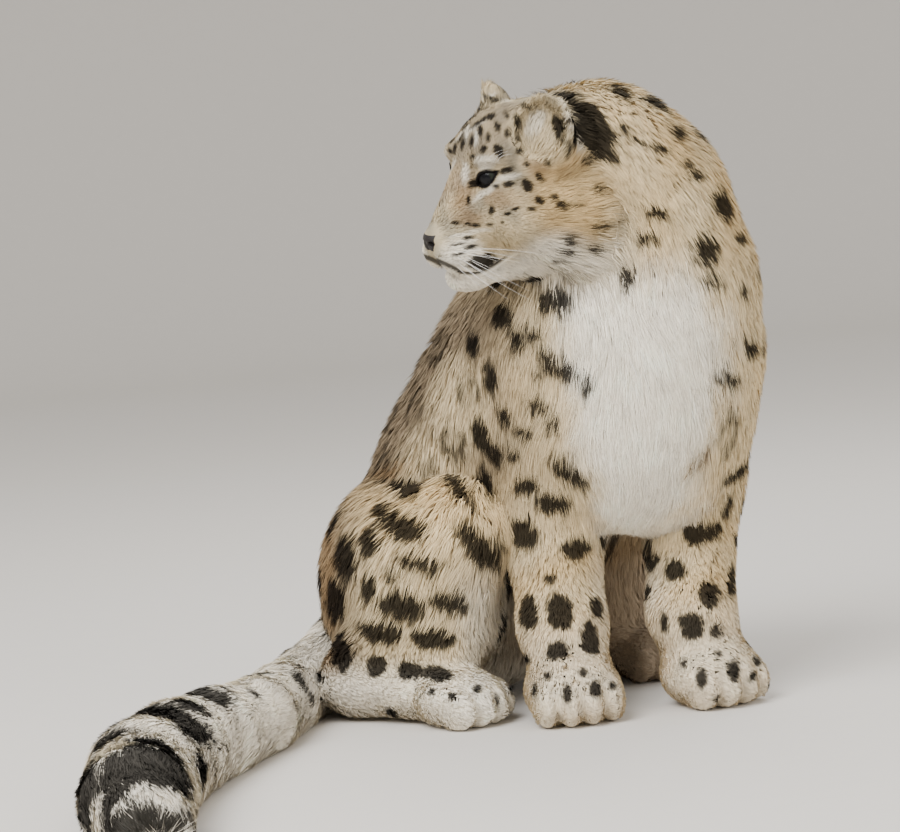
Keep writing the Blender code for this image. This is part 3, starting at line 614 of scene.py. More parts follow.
def paint(mesh, colours):
    """Gives a mesh its coat attribute, a colour for each point."""
    layer = mesh.color_attributes.new("coat", "FLOAT_COLOR", "POINT")
    layer.data.foreach_set("color", np.c_[colours, np.ones(len(colours))].astype(np.float32).ravel())


def mesh_of(name, points, triangles, colours=None, uvs=None, normals=None, gaze=None):
    """A mesh from arrays, moved to the model's zero, smooth, with its colours and other facts."""
    mesh = bpy.data.meshes.new(name)
    mesh.vertices.add(len(points))
    mesh.vertices.foreach_set("co", (points + SHIFT).astype(np.float32).ravel())
    mesh.loops.add(triangles.size)
    mesh.loops.foreach_set("vertex_index", triangles.astype(np.int32).ravel())
    mesh.polygons.add(len(triangles))
    mesh.polygons.foreach_set("loop_start", np.arange(0, triangles.size, 3, dtype=np.int32))
    mesh.update(calc_edges=True)
    mesh.polygons.foreach_set("use_smooth", np.ones(len(triangles), bool))
    if colours is not None:
        paint(mesh, colours)
    if gaze is not None:
        mesh.attributes.new("gaze", "FLOAT", "POINT").data.foreach_set("value", np.array(gaze, np.float32))
    if uvs is not None:
        layer = mesh.uv_layers.new(name="OFBake")
        layer.data.foreach_set("uv", uvs[triangles.ravel()].astype(np.float32).ravel())
    if normals is not None:
        mesh.normals_split_custom_set_from_vertices(normals.astype(np.float32))
    return mesh


def stand(name, data):
    """A new object in the scene, at its origin."""
    made = bpy.data.objects.new(name, data)
    bpy.context.scene.collection.objects.link(made)
    return made


def piece_of(name, mesh, material, nodes):
    """A finished piece: shown, riding on the model and standing for its nodes."""
    piece = stand(name, mesh)
    mesh.materials.append(material)
    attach(piece, "root")
    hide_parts(*nodes)


def view_axes():
    """The photograph's camera as columns right, up and back."""
    level = Matrix(((1, 0, 0), (0, 0, -1), (0, 1, 0)))
    return spin(VIEW_TURN, "Z") @ level @ spin(-VIEW_PITCH, "X") @ spin(VIEW_ROLL, "Z")


# Dark spots that the photograph shows, as middle, half width, half height in pixels and turn in degrees
HEAD_SPOTS = (
    (592, 134, 15, 31, 28), (562, 128, 7, 14, 8), (568, 149, 2, 9, 0), (524, 106, 12, 1.5, 0),
    (516, 120, 2, 10, 8), (506, 170, 7, 3, 20), (499, 152, 4.5, 9, 25), (484, 150, 3.5, 4.5, -35),
    (483, 261, 16, 7, 10), (509, 184, 6, 3, 0), (496, 186, 3, 2, 0), (527, 185, 5, 7, 25),
    (540, 178, 3, 6, 28), (527, 164, 3, 3, 0), (540, 201, 5, 4, -30), (554, 198, 4, 3, -40),
    (562, 206, 7, 4, -30), (576, 206, 6, 2, 0), (532, 209, 5, 2.5, 0), (516, 209, 4, 1.5, 15),
    (508, 214, 4, 1.5, 10), (503, 222, 2, 1.5, 0), (490, 224, 4, 1.5, 0), (476, 225, 4, 1.5, 0),
    (599, 225, 5, 6, 0), (572, 239, 6, 8, 20), (569, 251, 6, 4, 0), (560, 259, 7, 2, 0),
    (595, 191, 6, 3, -20), (468, 123, 12, 2.6, 44), (482, 122, 12, 2.4, 36), (491, 117, 4.5, 5, -20),
    (457, 131, 2.2, 7, -25), (507, 115, 2.5, 6, 8), (497, 101, 8, 1.8, 22), (511, 95, 9, 1.8, 22),
    (484, 104, 6, 1.6, 25), (529, 96, 5, 3, 0), (545, 92, 7, 2, 10), (561, 84, 6, 3, 0),
    (473, 142, 2.4, 6, -6), (481, 131, 2.4, 7, 4), (464, 143, 2.2, 7, -10), (456, 149, 2.2, 6, -15),
    (450, 141, 2.0, 6, -20), (489, 138, 2.6, 5, 0), (498, 127, 2.6, 6, 10), (507, 133, 2.4, 5, 0),
    (516, 139, 2.2, 5, 0), (473, 157, 4, 2.4, 0), (474, 183, 6, 4, 35), (469, 200, 2, 5, 0),
    (492, 210, 3, 4, 0), (456, 223, 4, 2, 0), (468, 224, 3, 1.5, 0), (469, 238, 6, 1.5, 10),
    (471, 247, 7, 1.8, 18), (457, 245, 7, 1.2, 8), (459, 254, 6, 1.4, 12),
)
# Pale marks, and brownish ones, in the same way
PALE_SPOTS = (
    (487, 161, 11, 4.5, 0), (466, 174, 3.5, 9, -8), (487, 191, 14, 2.6, 38), (508, 177, 10, 2.5, 10),
    (569, 119, 3, 19, 22), (577, 145, 6, 6, 0), (490, 96, 9, 1.5, 25), (476, 128, 12, 1.6, 32),
    (468, 133, 2, 8, -10), (477, 139, 2, 8, 0), (535, 122, 14, 9, 60), (480, 230, 12, 1.5, 8),
    (462, 235, 12, 1.6, 8), (466, 242, 13, 1.4, 12), (474, 251, 10, 1.2, 12), (472, 258, 10, 1.2, 8),
)
BROWN_SPOTS = ((503, 199, 16, 9, 0), (468, 217, 15, 8, 0), (536, 168, 12, 7, -30), (462, 200, 8, 14, -15))
BODY_SPOTS = (
    (583, 92, 12, 5, -10), (605, 83, 10, 3, -20), (619, 103, 10, 6, -25), (651, 113, 11, 8, -20),
    (621, 135, 3, 5, 30), (635, 147, 9, 2, -20), (654, 153, 9, 3, -20), (670, 139, 9, 6, 0),
    (680, 169, 6, 4, 0), (707, 162, 4, 5, 0), (654, 212, 10, 5, -20), (645, 237, 12, 5, 15),
    (712, 207, 10, 13, 0), (699, 251, 13, 14, 0), (707, 284, 12, 5, 10), (746, 277, 5, 5, 0),
    (753, 321, 8, 13, 0), (739, 345, 9, 9, 0), (716, 376, 14, 6, 0), (762, 293, 4, 9, 0),
    (733, 292, 5, 6, 0), (690, 180, 8, 4, 0), (728, 240, 8, 6, 0), (523, 341, 5, 10, 10),
    (547, 352, 6, 7, 0), (537, 334, 9, 5, 0), (512, 411, 7, 9, 0), (543, 402, 13, 5, -8),
    (556, 417, 6, 7, 0), (529, 427, 10, 5, 0), (541, 372, 5, 4, 0), (520, 448, 7, 5, -20),
    (561, 302, 18, 10, -10), (565, 366, 18, 10, -20), (590, 379, 7, 7, 0), (571, 462, 18, 9, -35),
    (533, 481, 12, 9, 0), (555, 498, 17, 10, 0), (491, 484, 10, 21, 0), (498, 377, 6, 15, 0),
    (489, 432, 9, 16, 10), (505, 450, 6, 10, 0), (512, 318, 9, 11, 0), (483, 345, 7, 12, 0),
    (528, 532, 12, 16, 20), (574, 548, 13, 12, 0), (507, 557, 8, 21, 15), (530, 615, 9, 15, 0),
    (561, 612, 12, 16, 10), (589, 640, 9, 14, 10), (558, 651, 10, 8, 0), (528, 659, 7, 5, 0),
    (551, 580, 5, 4, 0), (568, 694, 4, 8, 0), (595, 690, 5, 8, 0), (535, 690, 3, 6, 0), (548, 676, 4, 4, 0),
    (583, 674, 4, 4, 0), (727, 468, 17, 7, 5), (700, 529, 16, 13, 0), (676, 572, 9, 10, 0),
    (654, 556, 8, 14, 0), (710, 596, 9, 12, 10), (691, 626, 11, 12, 0), (716, 631, 7, 7, 0),
    (665, 623, 4, 9, 0), (740, 503, 7, 15, 0), (729, 583, 5, 14, 0), (702, 679, 5, 9, 0),
    (734, 671, 6, 9, 0), (684, 664, 4, 5, 0), (756, 662, 4, 5, 0), (418, 493, 23, 12, -12),
    (410, 532, 21, 12, -5), (422, 562, 21, 7, -5), (387, 518, 11, 11, 0), (407, 605, 23, 12, 0),
    (450, 599, 17, 9, -20), (385, 632, 21, 11, 0), (432, 638, 18, 11, -8), (377, 667, 10, 9, 0),
    (411, 671, 12, 9, 10), (438, 674, 15, 7, -10), (458, 494, 27, 6, -55), (477, 549, 26, 10, -45),
    (502, 572, 8, 18, 0), (375, 545, 10, 12, 0), (376, 590, 10, 11, 0), (398, 575, 7, 6, 0),
    (352, 560, 10, 20, 0), (345, 600, 11, 20, 0), (343, 650, 11, 20, 0), (372, 716, 11, 12, 0),
    (392, 712, 7, 7, 0), (433, 726, 22, 4, 8), (208, 702, 24, 9, -22), (158, 722, 38, 12, -22),
    (190, 742, 27, 5, -25), (148, 776, 38, 23, 0), (140, 828, 34, 14, 0), (297, 685, 5, 11, 25),
    (94, 748, 13, 30, -10), (322, 678, 10, 5, 0), (252, 700, 5, 6, 0), (232, 676, 8, 5, 0),
    (305, 700, 5, 5, 0), (95, 800, 10, 26, 0),
)
# Open rosettes, and brown clouding of the haunch
RING_SPOTS = ((500, 560, 9, 26, 12), (478, 390, 12, 14, 0), (462, 440, 12, 16, 0), (440, 470, 12, 12, 0))
CLOUD_SPOTS = ((336, 575, 17, 58, 4), (374, 716, 18, 14, 0), (335, 655, 13, 20, 0), (398, 475, 26, 6, 20))
# Distance at which the pixels of each group become metres, and the most pixels that a spot goes deep
SPOT_SCALES = {"head": 4.3, "body": 4.7, "ring": 4.4, "cloud": 4.0}
SPOT_DEPTH = 45.0
# From here on a spot of the face has its like on the other side
MIRROR_EDGE = 0.012
# Spots grown where the photograph shows none: gap, size and whether a ring, by place
GROWN_SPOTS = {
    "cheek": (0.017, 0.0040, 0.0),
    "nape": (0.026, 0.0070, 0.0),
    "back": (0.062, 0.0235, 1.0),
    "shoulder": (0.044, 0.0125, 0.0),
    "tail": (0.056, 0.0220, 0.0),
    "foot": (0.026, 0.0055, 0.0),
    "foreleg": (0.040, 0.0120, 0.0),
    "thigh": (0.050, 0.0170, 0.0),
}
MOST_SPOTS = 901
FOOT_HEIGHT = 0.085
# The tail runs out of the picture where it passes this place across the floor
PICTURE_EDGE = -0.36


def photo_ray(across, down):
    """The way from the photograph's camera through a pixel."""
    place = ((across - PICTURE[0] / 2) / VIEW_FOCAL, (PICTURE[1] / 2 - down) / VIEW_FOCAL, -1.0)
    return unit(np.array(view_axes()) @ vector(place))


def ripple(points, size, seed):
    """Smooth random waves from about -1 to 1, with crests the given size apart."""
    draw = np.random.default_rng(seed)
    total = np.zeros(len(points))
    for _ in range(9):
        way = draw.normal(size=3)
        way = way / np.linalg.norm(way) * 2.0 * math.pi / (size * draw.uniform(0.7, 1.5))
        total += np.sin(points @ way + draw.uniform(0, 2 * math.pi))
    return total / 3.2


def shown_spots(tree, groups):
    """The photograph's spots on the skin: middle, axes, radii and whether a ring.

    Those of the face are mirrored onto its other side.
    """
    turn = np.array(view_axes())
    flip = np.diag((1.0, -1.0, 1.0))
    mirror = HEAD_TURN @ flip @ HEAD_TURN.T
    spots = []
    for group, rows in groups:
        scale = SPOT_SCALES[group] / VIEW_FOCAL
        for across, down, wide, high, tilt in rows:
            place = tree.ray_cast(Vector(VIEW_PLACE), Vector(photo_ray(across, down)))[0]
            if place is None:
                continue
            angle = math.radians(tilt)
            right = turn[:, 0] * math.cos(angle) + turn[:, 1] * math.sin(angle)
            spot_axes = np.stack([right, np.cross(turn[:, 2], right), turn[:, 2]], 1)
            radii = vector((wide, high, min(1.6 * max(wide, high), SPOT_DEPTH))) * scale
            spots.append((vector(place), spot_axes, radii, float(group == "ring")))
            half = in_head(vector(place)[None])[0]
            if group == "head" and half[1] >= MIRROR_EDGE:
                spots.append((from_head(flip @ half), mirror @ spot_axes, radii, 0.0))
    return spots


def spot_kind(part, height, half):
    """Which row of GROWN_SPOTS holds for a place, if any. Half is the place in the head's axes."""
    if part == "head":
        if half[0] > 0.06 or half[2] > 0.07:
            return None
        return "nape" if half[0] < 0.02 else "cheek"
    if part == "torso":
        return "back" if height < 0.50 else "shoulder"
    if part == "tail":
        return "tail"
    if height < FOOT_HEIGHT:
        return "foot"
    return "foreleg" if part.startswith("foreleg") else "thigh"


def shown(tree, point, normal, part):
    """Whether the photograph shows a place of the skin well enough to have its spots from there."""
    if part == "torso" and point[2] > 0.2 and normal @ vector((-0.8, -0.2, 0.3)) > 0.35:
        return False
    way = Vector(point) - Vector(VIEW_PLACE)
    place, facing, _, far = tree.ray_cast(Vector(VIEW_PLACE), way.normalized())
    reach, limit = (0.035, 0.7) if point[2] < FOOT_HEIGHT else (0.004, -0.25)
    if place is None or abs(far - way.length) >= reach or facing @ way >= limit * way.length:
        return False
    return point[1] > PICTURE_EDGE


def grown_spots(tree, points, normals, shares, pale, taken):
    """Spots of the sides that the photograph hides, spread with even gaps as the species has them."""
    draw = np.random.default_rng(SEED)
    half = in_head(points)
    seen = KDTree(len(taken))
    for place, _, _, _ in taken:
        seen.insert(Vector(place), 0)
    seen.balance()
    grown = []
    placed = np.full((MOST_SPOTS, 3), 9.0)
    owner = shares.argmax(axis=1)
    for k in draw.permutation(len(points)):
        point = points[k]
        if point[2] < 0.012 or pale[k] > 0.55 or len(grown) == MOST_SPOTS:
            continue
        part = PARTS[owner[k]]
        kind = spot_kind(part, point[2], half[k])
        if not kind:
            continue
        gap, size, ring = GROWN_SPOTS[kind]
        if seen.find(point)[2] < gap * 0.95:
            continue
        if (((placed[: len(grown)] - point) ** 2).sum(axis=1) < gap**2).any():
            continue
        if shown(tree, point, normals[k], part):
            continue
        up = normals[k]
        along = lie_of(point[None], shares[k][None])[0]
        along = unit(along - up * (along @ up))
        radii = vector((draw.uniform(0.9, 1.35), draw.uniform(0.7, 1.0), 1.5)) * size
        placed[len(grown)] = point
        grown.append((point, np.stack([along, np.cross(up, along), up], 1), radii, ring))
    return grown


def darkness(points, spots, edge=0.0018):
    """How dark the markings make each point, from 0 to 1, with edges so soft."""
    dark = np.zeros(len(points))
    wobble = ripple(points, 0.020, 11) * 0.14 + ripple(points, 0.0075, 12) * 0.09
    order = np.argsort(points[:, 0])
    across = points[order, 0]
    for place, frame_axes, radii, ring in spots:
        reach = radii.max() * 1.4
        near = order[slice(*np.searchsorted(across, (place[0] - reach, place[0] + reach)))]
        near = near[(np.abs(points[near] - place) < reach).all(axis=1)]
        if not len(near):
            continue
        offset = (points[near] - place) @ frame_axes / radii
        away = np.linalg.norm(offset, axis=1) + wobble[near]
        soft = min(0.6, edge / radii.min())
        spot = fade(away, 1.0 - soft, 1.0 + soft)
        if ring:
            broken = ripple(points[near], 0.028, 13)
            inner = ramp(away, 0.42, 0.66)
            spot = spot * (0.30 + 0.70 * inner) * (0.35 + 0.65 * ramp(broken, -0.5, 0.1)) * 0.85
        dark[near] = np.maximum(dark[near], spot)
    return dark


def tail_frame(points):
    """For each point: the tail's own direction there, how far along it is and the angle round it."""
    path = [vector(place) for place in TAIL_PATH]
    best = np.full(len(points), 9.0)
    along = np.zeros((len(points), 3))
    far = np.zeros(len(points))
    angle = np.zeros(len(points))
    walked = 0.0
    for start, end in zip(path, path[1:]):
        way = end - start
        length = np.linalg.norm(way)
        way = way / length
        share = np.clip((points - start) @ way / length, 0.0, 1.0)
        offset = points - start - share[:, None] * way * length
        reach = np.linalg.norm(offset, axis=1)
        closer = reach < best
        best[closer] = reach[closer]
        along[closer] = way
        far[closer] = walked + share[closer] * length
        across = np.cross(way, (0, 0, 1))
        across = across / np.linalg.norm(across)
        up = np.cross(across, way)
        angle[closer] = np.arctan2(offset[closer] @ across, offset[closer] @ up)
        walked += length
    return along, far, angle


def filled(points, row):
    """The same row of three for every point."""
    return vector(row) * np.ones((len(points), 1))


def lie_of(points, shares):
    """The way the hair lies, before it is laid on the skin."""
    half = in_head(points)
    side = np.where(half[:, 1] < 0, -1.0, 1.0)
    head = unit(half - vector((0.175, 0.0, -0.030)))
    head = head + np.stack([np.full(len(half), -0.8), 0.0 * side, -0.9 * ramp(-half[:, 2], 0.0, 0.08)], 1)
    ear = fade(distance(folded_head(points), EAR_PLACE), 0.034, 0.050)[:, None]
    up = np.stack([np.full(len(half), -0.1), 0.55 * side, np.full(len(half), 0.85)], 1)
    head = (head * (1.0 - ear) + up * ear) @ HEAD_TURN.T
    height = points[:, 2]
    away = points[:, :2] - vector((-0.03, 0.06))
    away = away / (np.linalg.norm(away, axis=1)[:, None] + 0.02)
    high = ramp(height, 0.45, 0.62)[:, None]
    back = ramp(points[:, 1], 0.05, 0.28)[:, None]
    torso = np.c_[away * 0.7 * high, -np.ones(len(points))] + back * vector((-0.35, 0.25, 0.0))
    low = fade(height, 0.060, 0.105)[:, None]
    flows = [torso]
    for yaw, fall, above in PAW_LIES:
        paw = axes(yaw)[:, 0] + vector((0, 0, fall))
        flows.append(filled(points, above) * (1 - low) + paw * low)
    flows += [tail_frame(points)[0], head]
    total = sum(flow * shares[:, k][:, None] for k, flow in enumerate(flows))
    swirl = np.stack([ripple(points, 0.11, 20 + k) for k in range(3)], 1) * 0.16
    return total / (np.linalg.norm(total, axis=1)[:, None] + 1e-6) + swirl


def paint_of(*screen):
    """Linear colour of a shade given as on a screen, 0 to 255."""
    return vector([(c / 255 / 12.92) if c < 10.4 else ((c / 255 + 0.055) / 1.055) ** 2.4 for c in screen])


# Shades of the coat, as on a screen
WHITE = paint_of(243, 235, 218)
CREAM = paint_of(224, 204, 164)
GOLD = paint_of(214, 177, 116)
TAN = paint_of(186, 146, 98)
SMOKE = paint_of(134, 118, 96)
GREY = paint_of(144, 136, 118)
DARK = paint_of(15, 12, 11)

# The white bib of the chest: heights, and the middle and half width of the bib at each
BIB_HEIGHTS = (0.18, 0.21, 0.255, 0.37, 0.45, 0.50)
BIB_MIDDLES = (0.028, 0.020, 0.038, 0.050, 0.055, 0.030)
BIB_WIDTHS = (0.012, 0.024, 0.050, 0.082, 0.085, 0.080)
# Heights between which the ruff of the neck gives way to the coat of the body
NECK_EDGE = (0.485, 0.500)
# Small features: bulge of the cornea, colours inside the eye, grid step of the nose, and whiskers
CORNEA = 0.0012
PUPIL = (0.003, 0.003, 0.004)
EYE_RING = (0.008, 0.006, 0.005)
EYE_WHITE = (0.02, 0.013, 0.010)
NOSE_STEP = 0.0009
WHISKER_STEPS = 8
BROW_WHISKERS = 3
# Shades of the face in head axes, in order: shade, middle, reach and share
FACE_SHADES = (
    (SMOKE, (0.078, 0.0, 0.085), 0.085, 0.55),
    (GOLD, (0.010, 0.078, 0.002), 0.075, 0.62),
    (CREAM, (0.085, 0.045, -0.030), 0.045, 0.8),
    (TAN, (0.105, 0.0, 0.020), 0.040, 0.22),
    (WHITE, (0.135, 0.024, -0.050), 0.034, 0.9),
)


def tint(colours, shade, share):
    """Takes the colours towards a shade by a share for each point."""
    return colours + (shade - colours) * np.clip(share, 0.0, 1.0)[:, None]


def around(points, place, reach):
    """1 near a place and 0 beyond its reach."""
    return fade(distance(points, place), reach * 0.45, reach)


def torso_colour(points, normals):
    """Colour of the trunk and neck, the white bib and belly in it, and painted shade low between the
    forelegs.
    """
    height, facing = points[:, 2], -normals[:, 1]
    front = ramp(facing, -0.35, 0.45)
    colours = tint(filled(points, SMOKE), CREAM, front * ramp(points[:, 0], -0.125, -0.04) * 0.9)
    colours = tint(colours, CREAM, ramp(points[:, 0], 0.05, 0.11) * ramp(facing, -0.75, 0.0) * 0.9)
    neck = ramp(height, 0.46, 0.56) * ramp(facing, -0.6, 0.3)
    colours = tint(colours, CREAM, neck * 0.9)
    gold = 0.24 + 0.16 * ripple(points, 0.09, 31)
    colours = tint(colours, GOLD, neck * gold * (1.0 - 0.7 * ramp(height, 0.66, 0.72)))
    flank = around(points, (-0.170, 0.040, 0.370), 0.080)
    flank = np.maximum(flank, around(points, (-0.215, 0.060, 0.295), 0.090))
    colours = tint(colours, CREAM, flank * 0.75)
    bib = ramp(facing, 0.05, 0.55) * ramp(height, 0.17, 0.21) * fade(height, 0.47, 0.55)
    middle = np.interp(height, BIB_HEIGHTS, BIB_MIDDLES)
    wide = np.interp(height, BIB_HEIGHTS, BIB_WIDTHS) + 0.008 * ripple(points, 0.05, 37)
    bib = bib * fade(np.abs(points[:, 0] - middle) - wide, -0.022, 0.022)
    bib = np.maximum(bib, fade(normals[:, 2], -0.75, -0.35) * 0.8)
    colours = tint(colours, WHITE, bib)
    # Painted shade: dark brown low on the belly between the forelegs, where shade falls
    gap = fade(np.abs(points[:, 0] - 0.014), 0.030, 0.060) * fade(height, 0.17, 0.21)
    return tint(colours, TAN * 0.45, gap * front), bib


def leg_colour(points):
    """Colour of the forelegs, with pale inner sides and paws."""
    height = points[:, 2]
    colours = tint(filled(points, CREAM), GOLD, 0.22 + 0.16 * ripple(points, 0.07, 32))
    colours = tint(colours, WHITE, fade(height, 0.03, 0.16) * 0.6)
    inner = fade(np.abs(points[:, 0] - 0.012), 0.02, 0.055) * ramp(height, 0.08, 0.14)
    return tint(colours, WHITE, inner * 0.5)


def thigh_colour(points, normals):
    """Colour of the hind legs: gold above, smoky behind, pale feet and painted shade on the inner side."""
    across, height = points[:, 0], points[:, 2]
    colours = tint(filled(points, CREAM), GOLD, ramp(height, 0.16, 0.32) * 0.75)
    colours = tint(colours, SMOKE, ramp(-across, 0.265, 0.335) * 0.9)
    colours = tint(colours, SMOKE, ramp(normals[:, 1], 0.1, 0.6))
    colours = tint(colours, WHITE, fade(height, 0.04, 0.09) * 0.85)
    colours = tint(colours, WHITE, ramp(across, -0.205, -0.165) * fade(height, 0.13, 0.21) * 0.85)
    # Painted shade: dark brown on the hind legs near the middle, where they show in the shadow between the
    # forelegs
    return tint(colours, TAN * 0.55, ramp(across, -0.060, -0.020) * fade(height, 0.24, 0.34) * 0.7)


def head_colour(points):
    """Colour of the head, and the white of its chin, lips and throat."""
    half = folded_head(points)
    colours = tint(filled(points, GREY), CREAM, 0.35 + 0.3 * ripple(points, 0.03, 34))
    for shade, place, reach, share in FACE_SHADES:
        colours = tint(colours, shade, around(half, place, reach) * share)
    pale = fade(half[:, 2], -0.082, -0.046)
    pale = np.maximum(pale, around(half, (0.040, 0.062, -0.070), 0.055))
    colours = tint(colours, WHITE, pale * 0.95)
    return tint(colours, WHITE, around(half, (0.090, 0.036, 0.054), 0.014) * 0.8), pale


def ground_colour(points, normals, shares):
    """The coat's colour between the spots, and how white it is."""
    torso, bib = torso_colour(points, normals)
    leg, thigh = leg_colour(points), thigh_colour(points, normals)
    tail = tint(filled(points, WHITE), SMOKE, 0.10 + 0.14 * ripple(points, 0.08, 33))
    head, pale = head_colour(points)
    white = np.maximum(bib * shares[:, TORSO], pale * shares[:, HEAD])
    kinds = [torso, leg, leg, thigh, thigh, tail, head]
    colours = sum(kind * shares[:, k][:, None] for k, kind in enumerate(kinds))
    colours = colours * (1.0 + 0.07 * ripple(points, 0.035, 35) + 0.05 * ripple(points, 0.012, 36))[:, None]
    return np.clip(colours, 0.01, 0.95), white


def head_marks(points, normals, shares):
    """Dark rims of the lids and lips, the streak from the eye to the nose and the black backs of the ears."""
    half = folded_head(points)
    offset = (half - vector(EYE_PLACE)) @ eye_turn(1)
    width = 1.0 - (offset[:, 1] / (EYE_HALF_WIDTH + 0.004)) ** 2
    rim = np.maximum(offset[:, 2] - (LID_RISE + 0.0044) * width, -offset[:, 2] - (LID_FALL + 0.0028) * width)
    rim = np.maximum(rim, np.abs(offset[:, 0]) - 0.025)
    dark = fade(rim, -0.0008, 0.0014)
    corner = vector(EYE_PLACE) + vector((0.011, -0.016, -0.009))
    tear = limb(half, corner, (0.108, 0.020, 0.004), 0.003, 0.0012)
    dark = np.maximum(dark, fade(tear, 0.0, 0.003) * 0.8)
    height, slope = mouth_line(half)
    lip = np.abs((half[:, 2] - height) / np.sqrt(1.0 + slope**2))
    back = ramp(half[:, 0], MOUTH_CORNER_X - 0.002, MOUTH_CORNER_X + 0.012)
    wide = 0.0012 + 0.0012 * ramp(half[:, 0], 0.135, 0.150)
    dark = np.maximum(dark, fade(lip, wide * 0.5, wide + 0.0014) * back * 0.9)
    ear = ear_turn(1)
    cup = (half - vector(EAR_PLACE)) @ ear
    reach = np.linalg.norm(cup / vector((1.0, 1.0, 1.1)), axis=1)
    behind = fade(folded_normals(points, normals) @ ear[:, 0], -0.20, 0.15)
    behind = behind * ramp(cup[:, 2], -0.030, -0.014) * fade(reach, 0.046, 0.056)
    right = in_head(points)[:, 1] < 0
    top = np.where(right, ramp(cup[:, 2], 0.008, 0.020), ramp(cup[:, 2], 0.034, 0.040))
    dark = np.maximum(dark, behind * (1.0 - top * 0.9))
    return dark * ramp(shares[:, HEAD], 0.3, 0.7)


def folded_normals(points, normals):
    """Normals in the head's axes, with the right side folded onto the left."""
    turned = normals @ HEAD_TURN
    turned[:, 1] = np.where(in_head(points)[:, 1] < 0, -turned[:, 1], turned[:, 1])
    return turned


def ear_inside(points, normals):
    """1 inside the cups of the ears."""
    near = fade(distance(folded_head(points), EAR_PLACE), 0.034, 0.046)
    return near * ramp(folded_normals(points, normals) @ ear_turn(1)[:, 0], 0.0, 0.35)


def coat_colour(points, normals, shares, spots):
    """Colour of skin and hair alike: the ground and the markings over it."""
    colours, _ = ground_colour(points, normals, shares)
    colours = tint(colours, CREAM * 0.85, ear_inside(points, normals) * 0.7)
    colours = tint(colours, TAN * 0.55, darkness(points, spots["brown"], 0.009) * 0.55)
    colours = tint(colours, WHITE, darkness(points, spots["pale"], 0.0035) * 0.6)
    colours = tint(colours, DARK, darkness(points, spots["dark"]) * 0.95)
    return tint(colours, DARK, head_marks(points, normals, shares))


def settings():
    """The sizes and colours that the user may change."""
    return bpy.context.scene.snow_leopard


# What skin_facts has worked out
KEPT = {}


def read_out(rows, key, kind):
    """One fact of every vertex or triangle, in rows of three."""
    values = np.empty(len(rows) * 3, kind)
    rows.foreach_get(key, values)
    return values.reshape(-1, 3)


def skin_facts():
    """Points, triangles, normals, part shares, spots and colours of the skin, worked out once."""
    if KEPT:
        return KEPT
    mesh = bpy.data.objects["skin"].data
    points = read_out(mesh.vertices, "co", np.float32).astype(float) - SHIFT
    normals = read_out(mesh.vertices, "normal", np.float32).astype(float)
    triangles = read_out(mesh.polygons, "vertices", np.int32)
    shares = shares_of(in_turns(body_parts, points))
    tree = BVHTree.FromPolygons(points.tolist(), triangles.tolist())
    _, white = ground_colour(points, normals, shares)
    dark = shown_spots(tree, (("head", HEAD_SPOTS), ("body", BODY_SPOTS), ("ring", RING_SPOTS)))
    dark = dark + grown_spots(tree, points, normals, shares, white, dark)
    pale = shown_spots(tree, (("head", PALE_SPOTS),))
    brown = shown_spots(tree, (("head", BROWN_SPOTS), ("cloud", CLOUD_SPOTS)))
    spots = {"dark": dark, "pale": pale, "brown": brown}
    KEPT.update(points=points, normals=normals, triangles=triangles, shares=shares, spots=spots)
    return KEPT


def add_socket(tree, in_out, name, kind, default=None):
    """A named input or output of a node group, with its default where it has one."""
    socket = tree.interface.new_socket(name, in_out=in_out, socket_type="NodeSocket" + kind)
    if default is not None:
        socket.default_value = default
    return socket


def add_node(tree, kind, values=None, **facts):
    """A new node with its own properties set, and then the values of its inputs."""
    node = tree.nodes.new(kind)
    for key, fact in facts.items():
        setattr(node, key, fact)
    for key, value in (values or {}).items():
        node.inputs[key].default_value = value
    return node


def wire(tree, *rows):
    """Links an output of one node to an input of another, row by row."""
    for source, output, target, entry in rows:
        tree.links.new(source.outputs[output], target.inputs[entry])


def noise_group():
    """Fine streaks of single hairs: a tone to multiply a colour by, and a height for a bump."""
    group = bpy.data.node_groups.get("hair_grain")
    if group:
        return group
    group = bpy.data.node_groups.new("hair_grain", "ShaderNodeTree")
    add_socket(group, "INPUT", "Scale", "Float", 400.0)
    add_socket(group, "INPUT", "Contrast", "Float", 0.3)
    add_socket(group, "OUTPUT", "Tone", "Color")
    add_socket(group, "OUTPUT", "Height", "Float")
    start, end = add_node(group, "NodeGroupInput"), add_node(group, "NodeGroupOutput")
    place = add_node(group, "ShaderNodeTexCoord")
    noise = add_node(group, "ShaderNodeTexNoise", {"Detail": 3.0})
    middle = add_node(group, "ShaderNodeMath", {1: 0.5}, operation="SUBTRACT")
    spread = add_node(group, "ShaderNodeMath", {2: 1.0}, operation="MULTIPLY_ADD")
    wire(
        group,
        (place, "Object", noise, "Vector"),
        (start, "Scale", noise, "Scale"),
        (noise, "Fac", middle, 0),
        (middle, 0, spread, 0),
        (start, "Contrast", spread, 1),
        (spread, 0, end, "Tone"),
        (noise, "Fac", end, "Height"),
    )
    return group


def bare_material(name, rough, specular, coat):
    """A new material with its gloss set, its node tree and its shader."""
    material = bpy.data.materials.new(name)
    material.use_nodes = True
    shader = material.node_tree.nodes["Principled BSDF"]
    gloss = {"Roughness": rough, "Specular IOR Level": specular, "Coat Weight": coat, "Coat Roughness": 0.03}
    for key, value in gloss.items():
        shader.inputs[key].default_value = value
    return material, material.node_tree, shader


